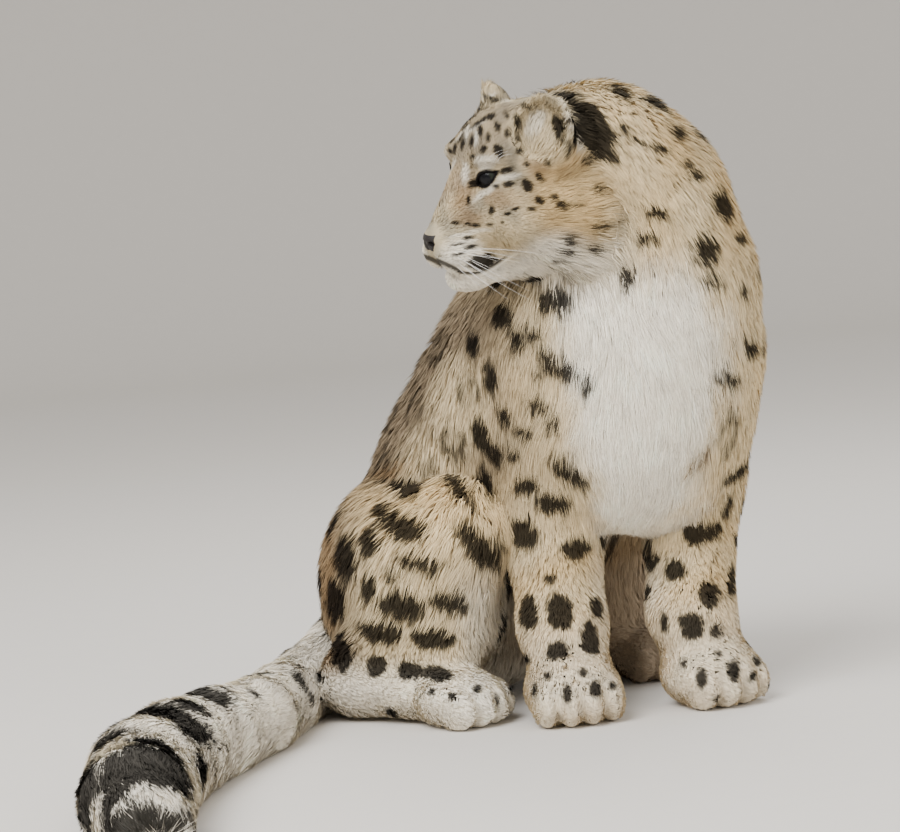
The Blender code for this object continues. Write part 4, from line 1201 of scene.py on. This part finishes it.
def material_of(name, rough, specular, grain, contrast, bump=0.0, colour=None, coat=0.0):
    """A material whose colour is the coat attribute or one shade, broken up by the fine grain."""
    material, tree, shader = bare_material(name, rough, specular, coat)
    mix = add_node(tree, "ShaderNodeMix", {"Factor": 1.0}, data_type="RGBA", blend_type="MULTIPLY")
    if colour is None:
        wire(tree, (add_node(tree, "ShaderNodeAttribute", attribute_name="coat"), "Color", mix, "A"))
    else:
        mix.inputs["A"].default_value = (*colour, 1.0)
    group = add_node(tree, "ShaderNodeGroup", {"Scale": grain, "Contrast": contrast}, node_tree=noise_group())
    wire(tree, (group, "Tone", mix, "B"), (mix, "Result", shader, "Base Color"))
    if bump:
        relief = add_node(tree, "ShaderNodeBump", {"Strength": bump, "Distance": 0.001})
        wire(tree, (group, "Height", relief, "Height"), (relief, "Normal", shader, "Normal"))
    return material


def roots_on(facts, weight, count, draw):
    """Random places on the skin, as many to the area as the weight of its points says."""
    points, triangles = facts["points"], facts["triangles"]
    corners = points[triangles]
    area = np.linalg.norm(np.cross(corners[:, 1] - corners[:, 0], corners[:, 2] - corners[:, 0]), axis=1)
    chance = area * weight[triangles].mean(axis=1)
    chosen = draw.choice(len(triangles), count, p=chance / chance.sum())
    first, second = draw.random(count), draw.random(count)
    over = first + second > 1.0
    first[over], second[over] = 1.0 - first[over], 1.0 - second[over]
    mix = np.stack([1.0 - first - second, first, second], 1)[..., None]
    roots = (corners[chosen] * mix).sum(axis=1)
    ups = (facts["normals"][triangles[chosen]] * mix).sum(axis=1)
    shares = (facts["shares"][triangles[chosen]] * mix).sum(axis=1)
    return roots, unit(ups), shares


def hair_length(points, shares):
    """Length of the coat, from a few millimetres on the face to half a hand's breadth on the tail."""
    half = folded_head(points)
    height = points[:, 2]
    face = 0.0065 + 0.0185 * fade(half[:, 0], -0.02, 0.085)
    face = face + 0.022 * around(half, (0.000, 0.070, -0.050), 0.070)
    ear = fade(distance(half, EAR_PLACE), 0.036, 0.052)
    face = face * (1.0 - ear) + 0.009 * ear
    face = face * (0.45 + 0.55 * ramp(lip_distance(half), 0.003, 0.016))
    face = face + 0.010 * around(half, (0.110, 0.0, -0.094), 0.034)
    front = ramp(-points[:, 1], -0.06, 0.02) * ramp(height, 0.12, 0.22) * fade(height, 0.48, 0.56)
    torso = 0.034 + 0.024 * front - 0.008 * ramp(height, 0.55, 0.65)
    leg = 0.0075 + 0.0165 * ramp(height, 0.08, 0.28)
    thigh = 0.008 + 0.025 * ramp(height, 0.07, 0.16)
    lengths = shares[:, TORSO] * torso + shares[:, FORE].sum(axis=1) * leg
    lengths = lengths + shares[:, HIND].sum(axis=1) * thigh + shares[:, TAIL] * 0.050
    return lengths + shares[:, HEAD] * face


# A tuft is a blade of three triangles: how far along it each of its five points stands, and on which side
BLADE_ALONG = np.array((0.0, 0.0, 0.5, 0.5, 1.0))
BLADE_ACROSS = np.array((-1.0, 1.0, -1.0, 1.0, 0.0))
BLADE_FACES = np.array(((0, 2, 1), (1, 2, 3), (2, 4, 3)))
# Scatter of the lie and of the roll of tufts, and where along a tuft its two colours are read
LIE_SCATTER = 0.13
ROLL_SCATTER = 0.45
SHADE_PLACES = (0.25, 0.68)
# Size of a tuft's patch in the UV map
PATCH = (0.0014, 0.0028)
# Pieces of coat: tufts, width against the body's, tufts to a clump, seed, painted shade at the roots, slot
# and nodes
COATS = {
    "coat_face": (64000, 1.0, 5, 101, 0.20, "head_coat", ("head", *pairs("ear"))),
    "coat_ruff": (62000, 1.0, 9, 102, 0.18, "head_coat", ("head", "neck")),
    "coat_chest": (62000, 1.0, 16, 103, 0.24, "back_coat", ("torso",)),
    "coat_back": (62000, 1.2, 10, 104, 0.22, "back_coat", ("torso",)),
    "coat_forelegs": (64000, 0.75, 6, 105, 0.18, "leg_coat", pairs("foreleg", "forepaw")),
    "coat_hindlegs": (62000, 1.0, 8, 106, 0.14, "leg_coat", pairs("hindleg", "hindfoot")),
    "coat_tail_root": (62000, 1.1, 9, 107, 0.16, "tail_coat", ("tail_1", "tail_2", "tail_3")),
    "coat_tail_end": (62000, 1.3, 12, 108, 0.16, "tail_coat", ("tail_3", "tail_4", "tail_5")),
}


def clump_leaders(roots, clump, draw):
    """For each tuft, the one that its clump gathers round."""
    leaders = draw.permutation(len(roots))[: max(int(len(roots) / clump), 8)]
    tree = KDTree(len(leaders))
    for k in leaders:
        tree.insert(roots[k], int(k))
    tree.balance()
    return np.array([tree.find(root)[1] for root in roots])


def coat_mesh(name, weight, count, width, clump, unwrap, seed, painted_root_shade):
    """Hair tufts over part of the skin, each a thin tapered blade that bends along the lie."""
    facts = skin_facts()
    draw = np.random.default_rng(seed)
    roots, ups, shares = roots_on(facts, weight, count, draw)
    lies = lie_of(roots, shares)
    lies = lies + draw.normal(size=lies.shape) * LIE_SCATTER
    lies = unit(lies - ups * (lies * ups).sum(axis=1)[:, None])
    lengths = hair_length(roots, shares) * draw.uniform(0.70, 1.20, count)
    radius = np.interp(tail_frame(roots)[1] / TAIL_LENGTH, np.linspace(0, 1, len(TAIL_RADII)), TAIL_RADII)
    depth = coat_depth(roots, shares) + shares[:, TAIL] * radius * (1.0 - TAIL_CORE) * 0.95
    depth = (depth + 0.0008) * draw.uniform(0.72, 1.10, count)
    inner = ear_inside(roots, ups)
    depth = depth + inner * draw.uniform(0.001, 0.007, count)
    lengths = lengths * (1.0 + 0.6 * inner)
    over = in_turns(skin_form, roots + lies * lengths[:, None])
    over = np.clip(over, -lengths * 0.6, lengths * 0.6)
    sides = np.cross(ups, lies)
    roll = draw.normal(size=count)[:, None] * ROLL_SCATTER
    sides = sides * np.cos(roll) + ups * np.sin(roll)
    shades = []
    for far in SHADE_PLACES:
        shades.append(coat_colour(roots + lies * (lengths * far)[:, None], ups, shares, facts["spots"]))
    nearest = clump_leaders(roots, clump, draw)
    tone = draw.normal(1.0, 0.28 * painted_root_shade, count) * draw.normal(1.0, 0.16 * painted_root_shade, count)[nearest]
    tone = np.clip(tone, 0.6, 1.4)[:, None, None]
    hold = draw.uniform(0.35, 0.80, count)[:, None]
    verts = []
    for t in (0.0, 0.5, 1.0):
        rise = depth * (1.0 - (1.0 - t) ** 2.0) - 0.0012 * (1.0 - t)
        place = roots + lies * (lengths * t)[:, None] + ups * (rise - over * t * t)[:, None]
        gather = place[nearest] - place
        reach = np.linalg.norm(gather, axis=1)[:, None]
        gather = gather * np.minimum(1.0, lengths[:, None] * 0.45 / (reach + 1e-9))
        place = place + gather * hold * t**1.4
        place[:, 2] = np.maximum(place[:, 2], SOLE)
        half = width * (1.0 - t) ** 0.6 * (0.75 + 0.5 * min(t * 4.0, 1.0)) / 2
        verts += [place] if t == 1.0 else [place - sides * half, place + sides * half]
    verts = np.stack(verts, 1).reshape(-1, 3)
    per = len(BLADE_ALONG)
    triangles = (np.arange(count)[:, None, None] * per + BLADE_FACES[None]).reshape(-1, 3)
    along, across = BLADE_ALONG[None, :, None], BLADE_ACROSS[None, :, None]
    # Painted shade and light: each tuft is painted darker at its root, as the shade deep in the coat, and a
    # little lighter at its tip
    painted_shade_levels = (1.0 - painted_root_shade, 1.0 - painted_root_shade * 0.2, 1.0 + painted_root_shade * 0.2)
    shade = np.interp(along, (0.0, 0.5, 1.0), painted_shade_levels)
    colours = np.stack(shades[:1] * 2 + shades[1:] * 3, 1) * tone * shade
    colours = np.clip(colours, 0.0, 1.0).reshape(-1, 3)
    places = np.clip(unwrap(roots), 0.004, 0.992)[:, None]
    uvs = places + np.stack([BLADE_ACROSS * PATCH[0], BLADE_ALONG * PATCH[1]], 1)[None]
    normals = ups[:, None] + sides[:, None] * across * 0.35
    normals = unit(normals + lies[:, None] * (along - 0.3) * 0.20)
    return mesh_of(name, verts, triangles, colours, uvs.reshape(-1, 2), normals.reshape(-1, 3))


def round_head(points):
    """Unwraps the head round its own middle."""
    half = in_head(points)
    turn = np.arctan2(half[:, 1], half[:, 2] + 0.02) / (2 * math.pi) + 0.5
    fall = np.arccos(np.clip(half[:, 0] / np.linalg.norm(half, axis=1), -1.0, 1.0)) / math.pi
    return np.stack([turn, fall], 1)


def round_post(centre):
    """Unwraps what stands round an upright line."""

    def unwrap(points):
        offset = points[:, :2] - vector(centre)
        turn = np.arctan2(offset[:, 0], -offset[:, 1]) / (2 * math.pi) + 0.5
        return np.stack([turn, points[:, 2] / 0.78], 1)

    return unwrap


def round_pair(left, right, split):
    """Unwraps two limbs side by side, each round its own upright line."""

    def unwrap(points):
        first, second = round_post(left)(points), round_post(right)(points)
        is_left = split(points)[:, None]
        both = np.where(is_left, first * (0.49, 1.0) + (0.505, 0.0), second * (0.49, 1.0))
        return both * (1.0, 1.55)

    return unwrap


def round_tail(points):
    """Unwraps the tail along and round its own line."""
    _, far, angle = tail_frame(points)
    return np.stack([angle / (2 * math.pi) + 0.5, far / TAIL_LENGTH], 1)


class SnowLeopardSettings(bpy.types.PropertyGroup):
    """Sizes and colours of the dressed animal that a user may change."""

    body_step: FloatProperty(
        name="Body step", description="Grid step of the skin", default=0.0065, unit="LENGTH"
    )
    head_step: FloatProperty(
        name="Head step", description="Grid step of the face", default=0.0020, unit="LENGTH"
    )
    skin_faces: IntProperty(name="Skin triangles", description="Triangles of the whole skin", default=185000)
    hair_share: FloatProperty(
        name="Hair share", description="Share of the full number of hairs", default=1.0, subtype="FACTOR"
    )
    hair_width: FloatProperty(
        name="Hair width", description="Width of one tuft on the body", default=0.0015, unit="LENGTH"
    )
    face_width: FloatProperty(
        name="Face hair width", description="Width of one tuft on the face", default=0.0008, unit="LENGTH"
    )
    whisker_length: FloatProperty(
        name="Whisker length", description="Longest whisker", default=0.085, unit="LENGTH"
    )
    whisker_width: FloatProperty(
        name="Whisker width", description="Radius of a whisker at its root", default=0.00022, unit="LENGTH"
    )
    whisker_count: IntProperty(name="Whiskers", description="Whiskers on each side", default=13)
    # Painted shade: the iris's default is near black, as the shade of the brow over the eye
    iris: FloatVectorProperty(
        name="Iris", description="Colour of the iris", default=(0.017, 0.019, 0.014), subtype="COLOR", size=3
    )
    leather: FloatVectorProperty(
        name="Nose leather",
        description="Colour of the bare nose",
        default=(0.014, 0.011, 0.010),
        subtype="COLOR",
        size=3,
    )


def made_plain(rough, name):
    """The mesh that an object's modifiers make of it. The object itself goes."""
    mesh = bpy.data.meshes.new_from_object(rough.evaluated_get(bpy.context.evaluated_depsgraph_get()))
    bpy.data.objects.remove(rough)
    mesh.name = name
    mesh.materials.clear()
    return mesh


class LEOPARD_OT_skin(bpy.types.Operator):
    """One closed skin from nose to tail, with its folds, lids, lips and toes"""

    bl_idname = "leopard.skin"
    bl_label = "Skin"

    def execute(self, context):
        lines = [grid_lines(axis, settings().body_step, settings().head_step) for axis in range(3)]
        points, triangles = surface_of(sample(skin_form, lines), lines)
        rough = stand("skin_whole", mesh_of("skin_whole", points, triangles))
        thin = rough.modifiers.new("Decimate", "DECIMATE")
        thin.ratio = min(1.0, settings().skin_faces / len(triangles))
        mesh = made_plain(rough, "skin")
        material = material_of("short_fur_skin", 0.85, 0.08, 900.0, 0.4, 0.6)
        piece_of("skin", mesh, material, FLESH)
        facts = skin_facts()
        colours = coat_colour(facts["points"], facts["normals"], facts["shares"], facts["spots"])
        # Painted shade: the skin is painted a tenth darker than the coat, as the shade under the hair
        paint(mesh, colours * 0.9)
        return {"FINISHED"}


def grow(name, weight, unwrap, material):
    """Makes one piece of coat and sets it on the animal."""
    count, wide, clump, seed, painted_root_shade, slot, nodes = COATS[name]
    count = int(count * settings().hair_share)
    width = settings().face_width if name == "coat_face" else settings().hair_width * wide
    mesh = coat_mesh(name, weight, count, width, clump, unwrap, seed, painted_root_shade)
    piece_of(name, mesh, material, nodes)


def fur_material(name, grain=260.0, contrast=0.22):
    """Dull, soft material of one part's hair."""
    return bpy.data.materials.get(name) or material_of(name, 0.80, 0.06, grain, contrast)


class LEOPARD_OT_head_coat(bpy.types.Operator):
    """Short dense hair of the face and ears, and the longer ruff of cheeks, nape and throat"""

    bl_idname = "leopard.head_coat"
    bl_label = "Head coat"

    def execute(self, context):
        facts = skin_facts()
        points, head = facts["points"], facts["shares"][:, HEAD]
        half = folded_head(points)
        ear = fade(distance(half, EAR_PLACE), 0.040, 0.056)
        face = head * ramp(half[:, 0], -0.015, 0.005) * (1.0 - bare_share(points))
        face = np.maximum(face * (1.0 + 1.2 * ramp(half[:, 0], 0.05, 0.10)), head * ear)
        material = fur_material("face_fur", 480.0, 0.30)
        grow("coat_face", face, round_head, material)
        ruff = head * fade(half[:, 0], -0.010, 0.020) * (1.0 - ear)
        ruff = ruff + facts["shares"][:, TORSO] * ramp(points[:, 2], *NECK_EDGE)
        grow("coat_ruff", ruff, round_head, material)
        return {"FINISHED"}


class LEOPARD_OT_body_coat(bpy.types.Operator):
    """Long hair of the chest, back, flanks and belly"""

    bl_idname = "leopard.body_coat"
    bl_label = "Body coat"

    def execute(self, context):
        facts = skin_facts()
        points = facts["points"]
        body = facts["shares"][:, TORSO] * fade(points[:, 2], *NECK_EDGE) * ramp(points[:, 2], 0.006, 0.020)
        front = fade(points[:, 1], 0.055, 0.065)
        material, unwrap = fur_material("body_fur"), round_post((-0.07, 0.13))
        grow("coat_chest", body * front, unwrap, material)
        grow("coat_back", body * (1 - front), unwrap, material)
        return {"FINISHED"}


class LEOPARD_OT_leg_coat(bpy.types.Operator):
    """Shorter hair of the forelegs, thighs and feet"""

    bl_idname = "leopard.leg_coat"
    bl_label = "Leg coat"

    def execute(self, context):
        facts = skin_facts()
        shares, height = facts["shares"], facts["points"][:, 2]
        clear = ramp(height, 0.003, 0.012)
        material = fur_material("leg_fur")
        pair = round_pair((0.09, 0.07), (-0.07, 0.04), lambda points: points[:, 0] > 0.008)
        grow("coat_forelegs", shares[:, FORE].sum(axis=1) * clear, pair, material)
        hind = shares[:, HIND].sum(axis=1) * clear * (1.0 + 0.5 * fade(height, 0.06, 0.10))
        pair = round_pair((-0.09, 0.34), (-0.28, 0.16), lambda points: points @ vector((1, 1, 0)) > 0.075)
        grow("coat_hindlegs", hind, pair, material)
        return {"FINISHED"}


class LEOPARD_OT_tail_coat(bpy.types.Operator):
    """Long dense hair of the tail, in two lengths"""

    bl_idname = "leopard.tail_coat"
    bl_label = "Tail coat"

    def execute(self, context):
        facts = skin_facts()
        tail = facts["shares"][:, TAIL] * ramp(facts["points"][:, 2], 0.002, 0.010)
        tip = ramp(tail_frame(facts["points"])[1], 0.505, 0.515)
        material = fur_material("tail_fur")
        grow("coat_tail_root", tail * (1 - tip), round_tail, material)
        grow("coat_tail_end", tail * tip, round_tail, material)
        return {"FINISHED"}


def ball_mesh(name, turn, centre):
    """An eyeball with the bulge of its cornea. The attribute gaze is the angle from the pupil's middle."""
    steps, rounds = 40, 48
    points, gaze = [centre + turn @ vector((EYE_RADIUS + CORNEA, 0, 0))], [0.0]
    for step in range(1, steps):
        angle = math.pi * (step / steps) ** 1.35
        bulge = CORNEA * float(fade(np.array(angle), 0.35, 0.85))
        for k in range(rounds):
            about = 2 * math.pi * k / rounds
            way = (math.cos(angle), math.sin(angle) * math.cos(about), math.sin(angle) * math.sin(about))
            points.append(centre + turn @ vector(way) * (EYE_RADIUS + bulge))
            gaze.append(angle)
    points.append(centre - turn @ vector((EYE_RADIUS, 0, 0)))
    gaze.append(math.pi)
    faces = [(0, 1 + k, 1 + (k + 1) % rounds) for k in range(rounds)]
    for near in range(1, 1 + (steps - 2) * rounds, rounds):
        for k in range(rounds):
            first, second = near + k, near + (k + 1) % rounds
            faces += [(first, first + rounds, second + rounds), (first, second + rounds, second)]
    last = len(points) - 1
    faces += [(last, last - rounds + (k + 1) % rounds, last - rounds + k) for k in range(rounds)]
    return mesh_of(name, np.array(points), np.array(faces), gaze=gaze)


def eye_material():
    """Iris painted near black as the shade of the brow, with its rays and dark ring, round pupil and dark
    white of the eye, under a wet coat.
    """
    material, tree, shader = bare_material("wet_eye", 0.30, 0.10, 0.16)
    gaze = add_node(tree, "ShaderNodeAttribute", attribute_name="gaze")
    rays = add_node(tree, "ShaderNodeTexNoise", {"Scale": 900.0})
    place = add_node(tree, "ShaderNodeTexCoord")
    shake = add_node(tree, "ShaderNodeMath", {1: 0.10}, operation="MULTIPLY_ADD")
    bands = add_node(tree, "ShaderNodeValToRGB")
    iris = settings().iris
    marks = bands.color_ramp.elements
    marks.remove(marks[1])
    marks[0].color = (*PUPIL, 1.0)
    rows = [(0.50, PUPIL), (0.56, [c * 0.5 for c in iris]), (0.66, iris), (0.80, [c * 0.7 for c in iris])]
    for position, colour in rows + [(0.86, EYE_RING), (0.96, EYE_WHITE)]:
        marks.new(position).color = (*colour, 1.0)
    wire(
        tree,
        (place, "Object", rays, "Vector"),
        (rays, "Fac", shake, 0),
        (gaze, "Fac", shake, 2),
        (shake, 0, bands, "Fac"),
        (bands, "Color", shader, "Base Color"),
    )
    return material


class LEOPARD_OT_eyes(bpy.types.Operator):
    """Both eyeballs, with iris, pupil and cornea"""

    bl_idname = "leopard.eyes"
    bl_label = "Eyes"

    def execute(self, context):
        material = eye_material()
        for name, side in (("eye_left", 1), ("eye_right", -1)):
            turn = HEAD_TURN @ eye_turn(side)
            x, y, z = EYE_PLACE
            mesh = ball_mesh(name + "_ball", turn, from_head((x, y * side, z)))
            piece_of(name + "_ball", mesh, material, (name,))
        return {"FINISHED"}


class LEOPARD_OT_nose(bpy.types.Operator):
    """The bare leather of the nose with its two nostrils"""

    bl_idname = "leopard.nose"
    bl_label = "Nose"

    def execute(self, context):
        def leather(points):
            half = folded_head(points)
            ahead, across, above = (half - vector(NOSE_TIP)).T
            form = nose_form(skull_form(half), half) - 0.0004
            wide = 0.0135 - 0.30 * np.maximum(-above - 0.002, 0.0) * 1.6
            shield = np.maximum(across - wide, np.abs(above + 0.001) - 0.0105)
            shield = np.maximum(shield, -0.006 - ahead)
            return meet(form, shield, 0.003)

        middle = from_head(NOSE_TIP)
        lines = [np.arange(-24, 24) * NOSE_STEP + middle[axis] for axis in range(3)]
        mesh = mesh_of("nose_leather", *surface_of(sample(leather, lines), lines))
        material = material_of("nose_leather", 0.45, 0.25, 1400.0, 0.5, 0.5, settings().leather, 0.10)
        piece_of("nose_leather", mesh, material, ("nose",))
        return {"FINISHED"}


def whisker_tree(material):
    """Geometry Nodes: each short line becomes a thin tapered whisker. Also names the socket of its radius."""
    tree = bpy.data.node_groups.new("whiskers", "GeometryNodeTree")
    add_socket(tree, "INPUT", "Geometry", "Geometry")
    thick = add_socket(tree, "INPUT", "Thickness", "Float", 0.00035)
    add_socket(tree, "OUTPUT", "Geometry", "Geometry")
    start, end = add_node(tree, "NodeGroupInput"), add_node(tree, "NodeGroupOutput")
    curve = add_node(tree, "GeometryNodeMeshToCurve")
    factor = add_node(tree, "GeometryNodeSplineParameter")
    taper = add_node(tree, "ShaderNodeMapRange", {"To Min": 1.0, "To Max": 0.15})
    radius = add_node(tree, "ShaderNodeMath", operation="MULTIPLY")
    sized = add_node(tree, "GeometryNodeSetCurveRadius")
    profile = add_node(tree, "GeometryNodeCurvePrimitiveCircle", {"Resolution": 5, "Radius": 1.0})
    tube = add_node(tree, "GeometryNodeCurveToMesh", {"Fill Caps": True})
    real = add_node(tree, "GeometryNodeRealizeInstances")
    dress = add_node(tree, "GeometryNodeSetMaterial", {"Material": material})
    wire(
        tree,
        (start, "Geometry", curve, "Mesh"),
        (factor, "Factor", taper, "Value"),
        (taper, "Result", radius, 0),
        (start, "Thickness", radius, 1),
        (curve, "Curve", sized, "Curve"),
        (radius, 0, sized, "Radius"),
        (sized, "Curve", tube, "Curve"),
        (profile, "Curve", tube, "Profile Curve"),
        (radius, 0, tube, "Scale"),
        (tube, "Mesh", real, "Geometry"),
        (real, "Geometry", dress, "Geometry"),
        (dress, "Geometry", end, "Geometry"),
    )
    return tree, thick.identifier


def whisker_lines():
    """Points and edges of the whiskers of both pads, and of the few over the left eye."""
    draw = np.random.default_rng(SEED + 50)
    points, edges = [], []
    for side in (-1, 1):
        for k in range(settings().whisker_count + BROW_WHISKERS * (side > 0)):
            row, column = k % 4, k // 4
            if k >= settings().whisker_count:
                root = vector((0.098 - 0.004 * row, 0.030 + 0.004 * row, 0.056))
                way = vector((0.10, 0.55, 0.75))
                length = 0.034 * draw.uniform(0.8, 1.1)
            else:
                root = vector((0.145 - 0.0075 * column, 0.030, -0.036 - 0.0060 * row - 0.001 * column))
                way = vector((-0.10 - 0.16 * column, 1.0, 0.10 - 0.22 * row))
                length = settings().whisker_length * (0.50 + 0.12 * column) * draw.uniform(0.75, 1.05)
            way = unit(way + draw.normal(size=3) * 0.10)
            start = root - vector((0, 1, 0)) * (skull_form(root[None])[0] + 0.003)
            bend = vector((-0.5, 0.0, -0.35)) * length * draw.uniform(0.6, 1.2)
            edges += [(len(points) + step, len(points) + step + 1) for step in range(WHISKER_STEPS)]
            for share in np.linspace(0.0, 1.0, WHISKER_STEPS + 1):
                x, y, z = start + way * length * share + bend * share**2
                points.append(from_head((x, y * side, z)))
    return points, edges


class LEOPARD_OT_whiskers(bpy.types.Operator):
    """Long white whiskers from both pads, and a few over the left eye"""

    bl_idname = "leopard.whiskers"
    bl_label = "Whiskers"

    def execute(self, context):
        points, edges = whisker_lines()
        mesh = bpy.data.meshes.new("whisker_lines")
        mesh.from_pydata((np.array(points) + SHIFT).tolist(), edges, [])
        lines = stand("whisker_lines", mesh)
        material = material_of("whisker_hair", 0.35, 0.5, 700.0, 0.1, colour=(0.86, 0.84, 0.80))
        modifier = lines.modifiers.new("whiskers", "NODES")
        modifier.node_group, thick = whisker_tree(material)
        modifier[thick] = settings().whisker_width
        piece_of("whiskers", made_plain(lines, "whiskers"), material, ("head",))
        return {"FINISHED"}


def floor_mesh():
    """A round floor whose edge curves up all the way round, to be the backdrop from every side."""
    quarter = [k * math.pi / 24 for k in range(13)]
    profile = [(FLOOR_RADIUS + FLOOR_BEND * math.sin(a), FLOOR_BEND * (1.0 - math.cos(a))) for a in quarter]
    profile.append((FLOOR_RADIUS + FLOOR_BEND, FLOOR_TOP))
    turns = [2 * math.pi * k / FLOOR_SIDES for k in range(FLOOR_SIDES)]
    points = [(r * math.cos(a), r * math.sin(a), z) for r, z in profile for a in turns]
    faces = [tuple(range(FLOOR_SIDES))]
    for ring in range(0, len(points) - FLOOR_SIDES, FLOOR_SIDES):
        for k in range(FLOOR_SIDES):
            last, this = ring + (k - 1) % FLOOR_SIDES, ring + k
            faces.append((last, last + FLOOR_SIDES, this + FLOOR_SIDES, this))
    mesh = bpy.data.meshes.new("floor")
    mesh.from_pydata(points, [], faces)
    mesh.polygons.foreach_set("use_smooth", np.ones(len(faces), bool))
    return mesh


class LEOPARD_OT_stage(bpy.types.Operator):
    """Pale floor, soft light and the photograph's camera"""

    bl_idname = "leopard.stage"
    bl_label = "Stage"

    def execute(self, context):
        scene = context.scene
        mesh = floor_mesh()
        floor = stand("floor", mesh)
        mesh.materials.append(material_of("floor_paper", 0.9, 0.2, 30.0, 0.03, colour=(0.62, 0.59, 0.55)))
        scene.world = bpy.data.worlds.new("soft_sky")
        scene.world.use_nodes = True
        sky = scene.world.node_tree.nodes["Background"].inputs
        sky["Color"].default_value = (1.0, 0.985, 0.955, 1.0)
        sky["Strength"].default_value = 0.92
        for name, place, size, power in LAMPS:
            light = bpy.data.lights.new(name, "AREA")
            light.energy = power
            light.size = size
            lamp = stand(name, light)
            lamp.location = place
            lamp.rotation_euler = (Vector(LAMP_AIM) - Vector(place)).to_track_quat("-Z", "Y").to_euler()
        lens = bpy.data.cameras.new("photo_view")
        lens.sensor_fit = "HORIZONTAL"
        lens.sensor_width = SENSOR
        lens.lens = VIEW_FOCAL / PICTURE[0] * SENSOR
        lens.clip_end = 60.0
        camera = stand("photo_view", lens)
        camera.matrix_world = Matrix.Translation(Vector(vector(VIEW_PLACE) + SHIFT)) @ view_axes().to_4x4()
        scene.camera = camera
        return {"FINISHED"}


STEPS = (
    LEOPARD_OT_skin,
    LEOPARD_OT_eyes,
    LEOPARD_OT_nose,
    LEOPARD_OT_whiskers,
    LEOPARD_OT_head_coat,
    LEOPARD_OT_body_coat,
    LEOPARD_OT_leg_coat,
    LEOPARD_OT_tail_coat,
    LEOPARD_OT_stage,
)


class LEOPARD_PT_panel(bpy.types.Panel):
    """Buttons for every step of the dressed animal"""

    bl_idname = "LEOPARD_PT_panel"
    bl_label = "Snow leopard"
    bl_space_type = "VIEW_3D"
    bl_region_type = "UI"
    bl_category = "Leopard"

    def draw(self, context):
        for name in SnowLeopardSettings.__annotations__:
            self.layout.prop(context.scene.snow_leopard, name)
        for step in STEPS:
            self.layout.operator(step.bl_idname)


CLASSES = (SnowLeopardSettings, *STEPS, LEOPARD_PT_panel)


def register():
    for kind in CLASSES:
        bpy.utils.register_class(kind)
    bpy.types.Scene.snow_leopard = PointerProperty(type=SnowLeopardSettings)


def unregister():
    del bpy.types.Scene.snow_leopard
    for kind in reversed(CLASSES):
        bpy.utils.unregister_class(kind)


def main():
    """Builds every piece in order."""
    register()
    bpy.ops.leopard.skin()
    bpy.ops.leopard.eyes()
    bpy.ops.leopard.nose()
    bpy.ops.leopard.whiskers()
    bpy.ops.leopard.head_coat()
    bpy.ops.leopard.body_coat()
    bpy.ops.leopard.leg_coat()
    bpy.ops.leopard.tail_coat()
    bpy.ops.leopard.stage()


if __name__ == "__main__":
    main()
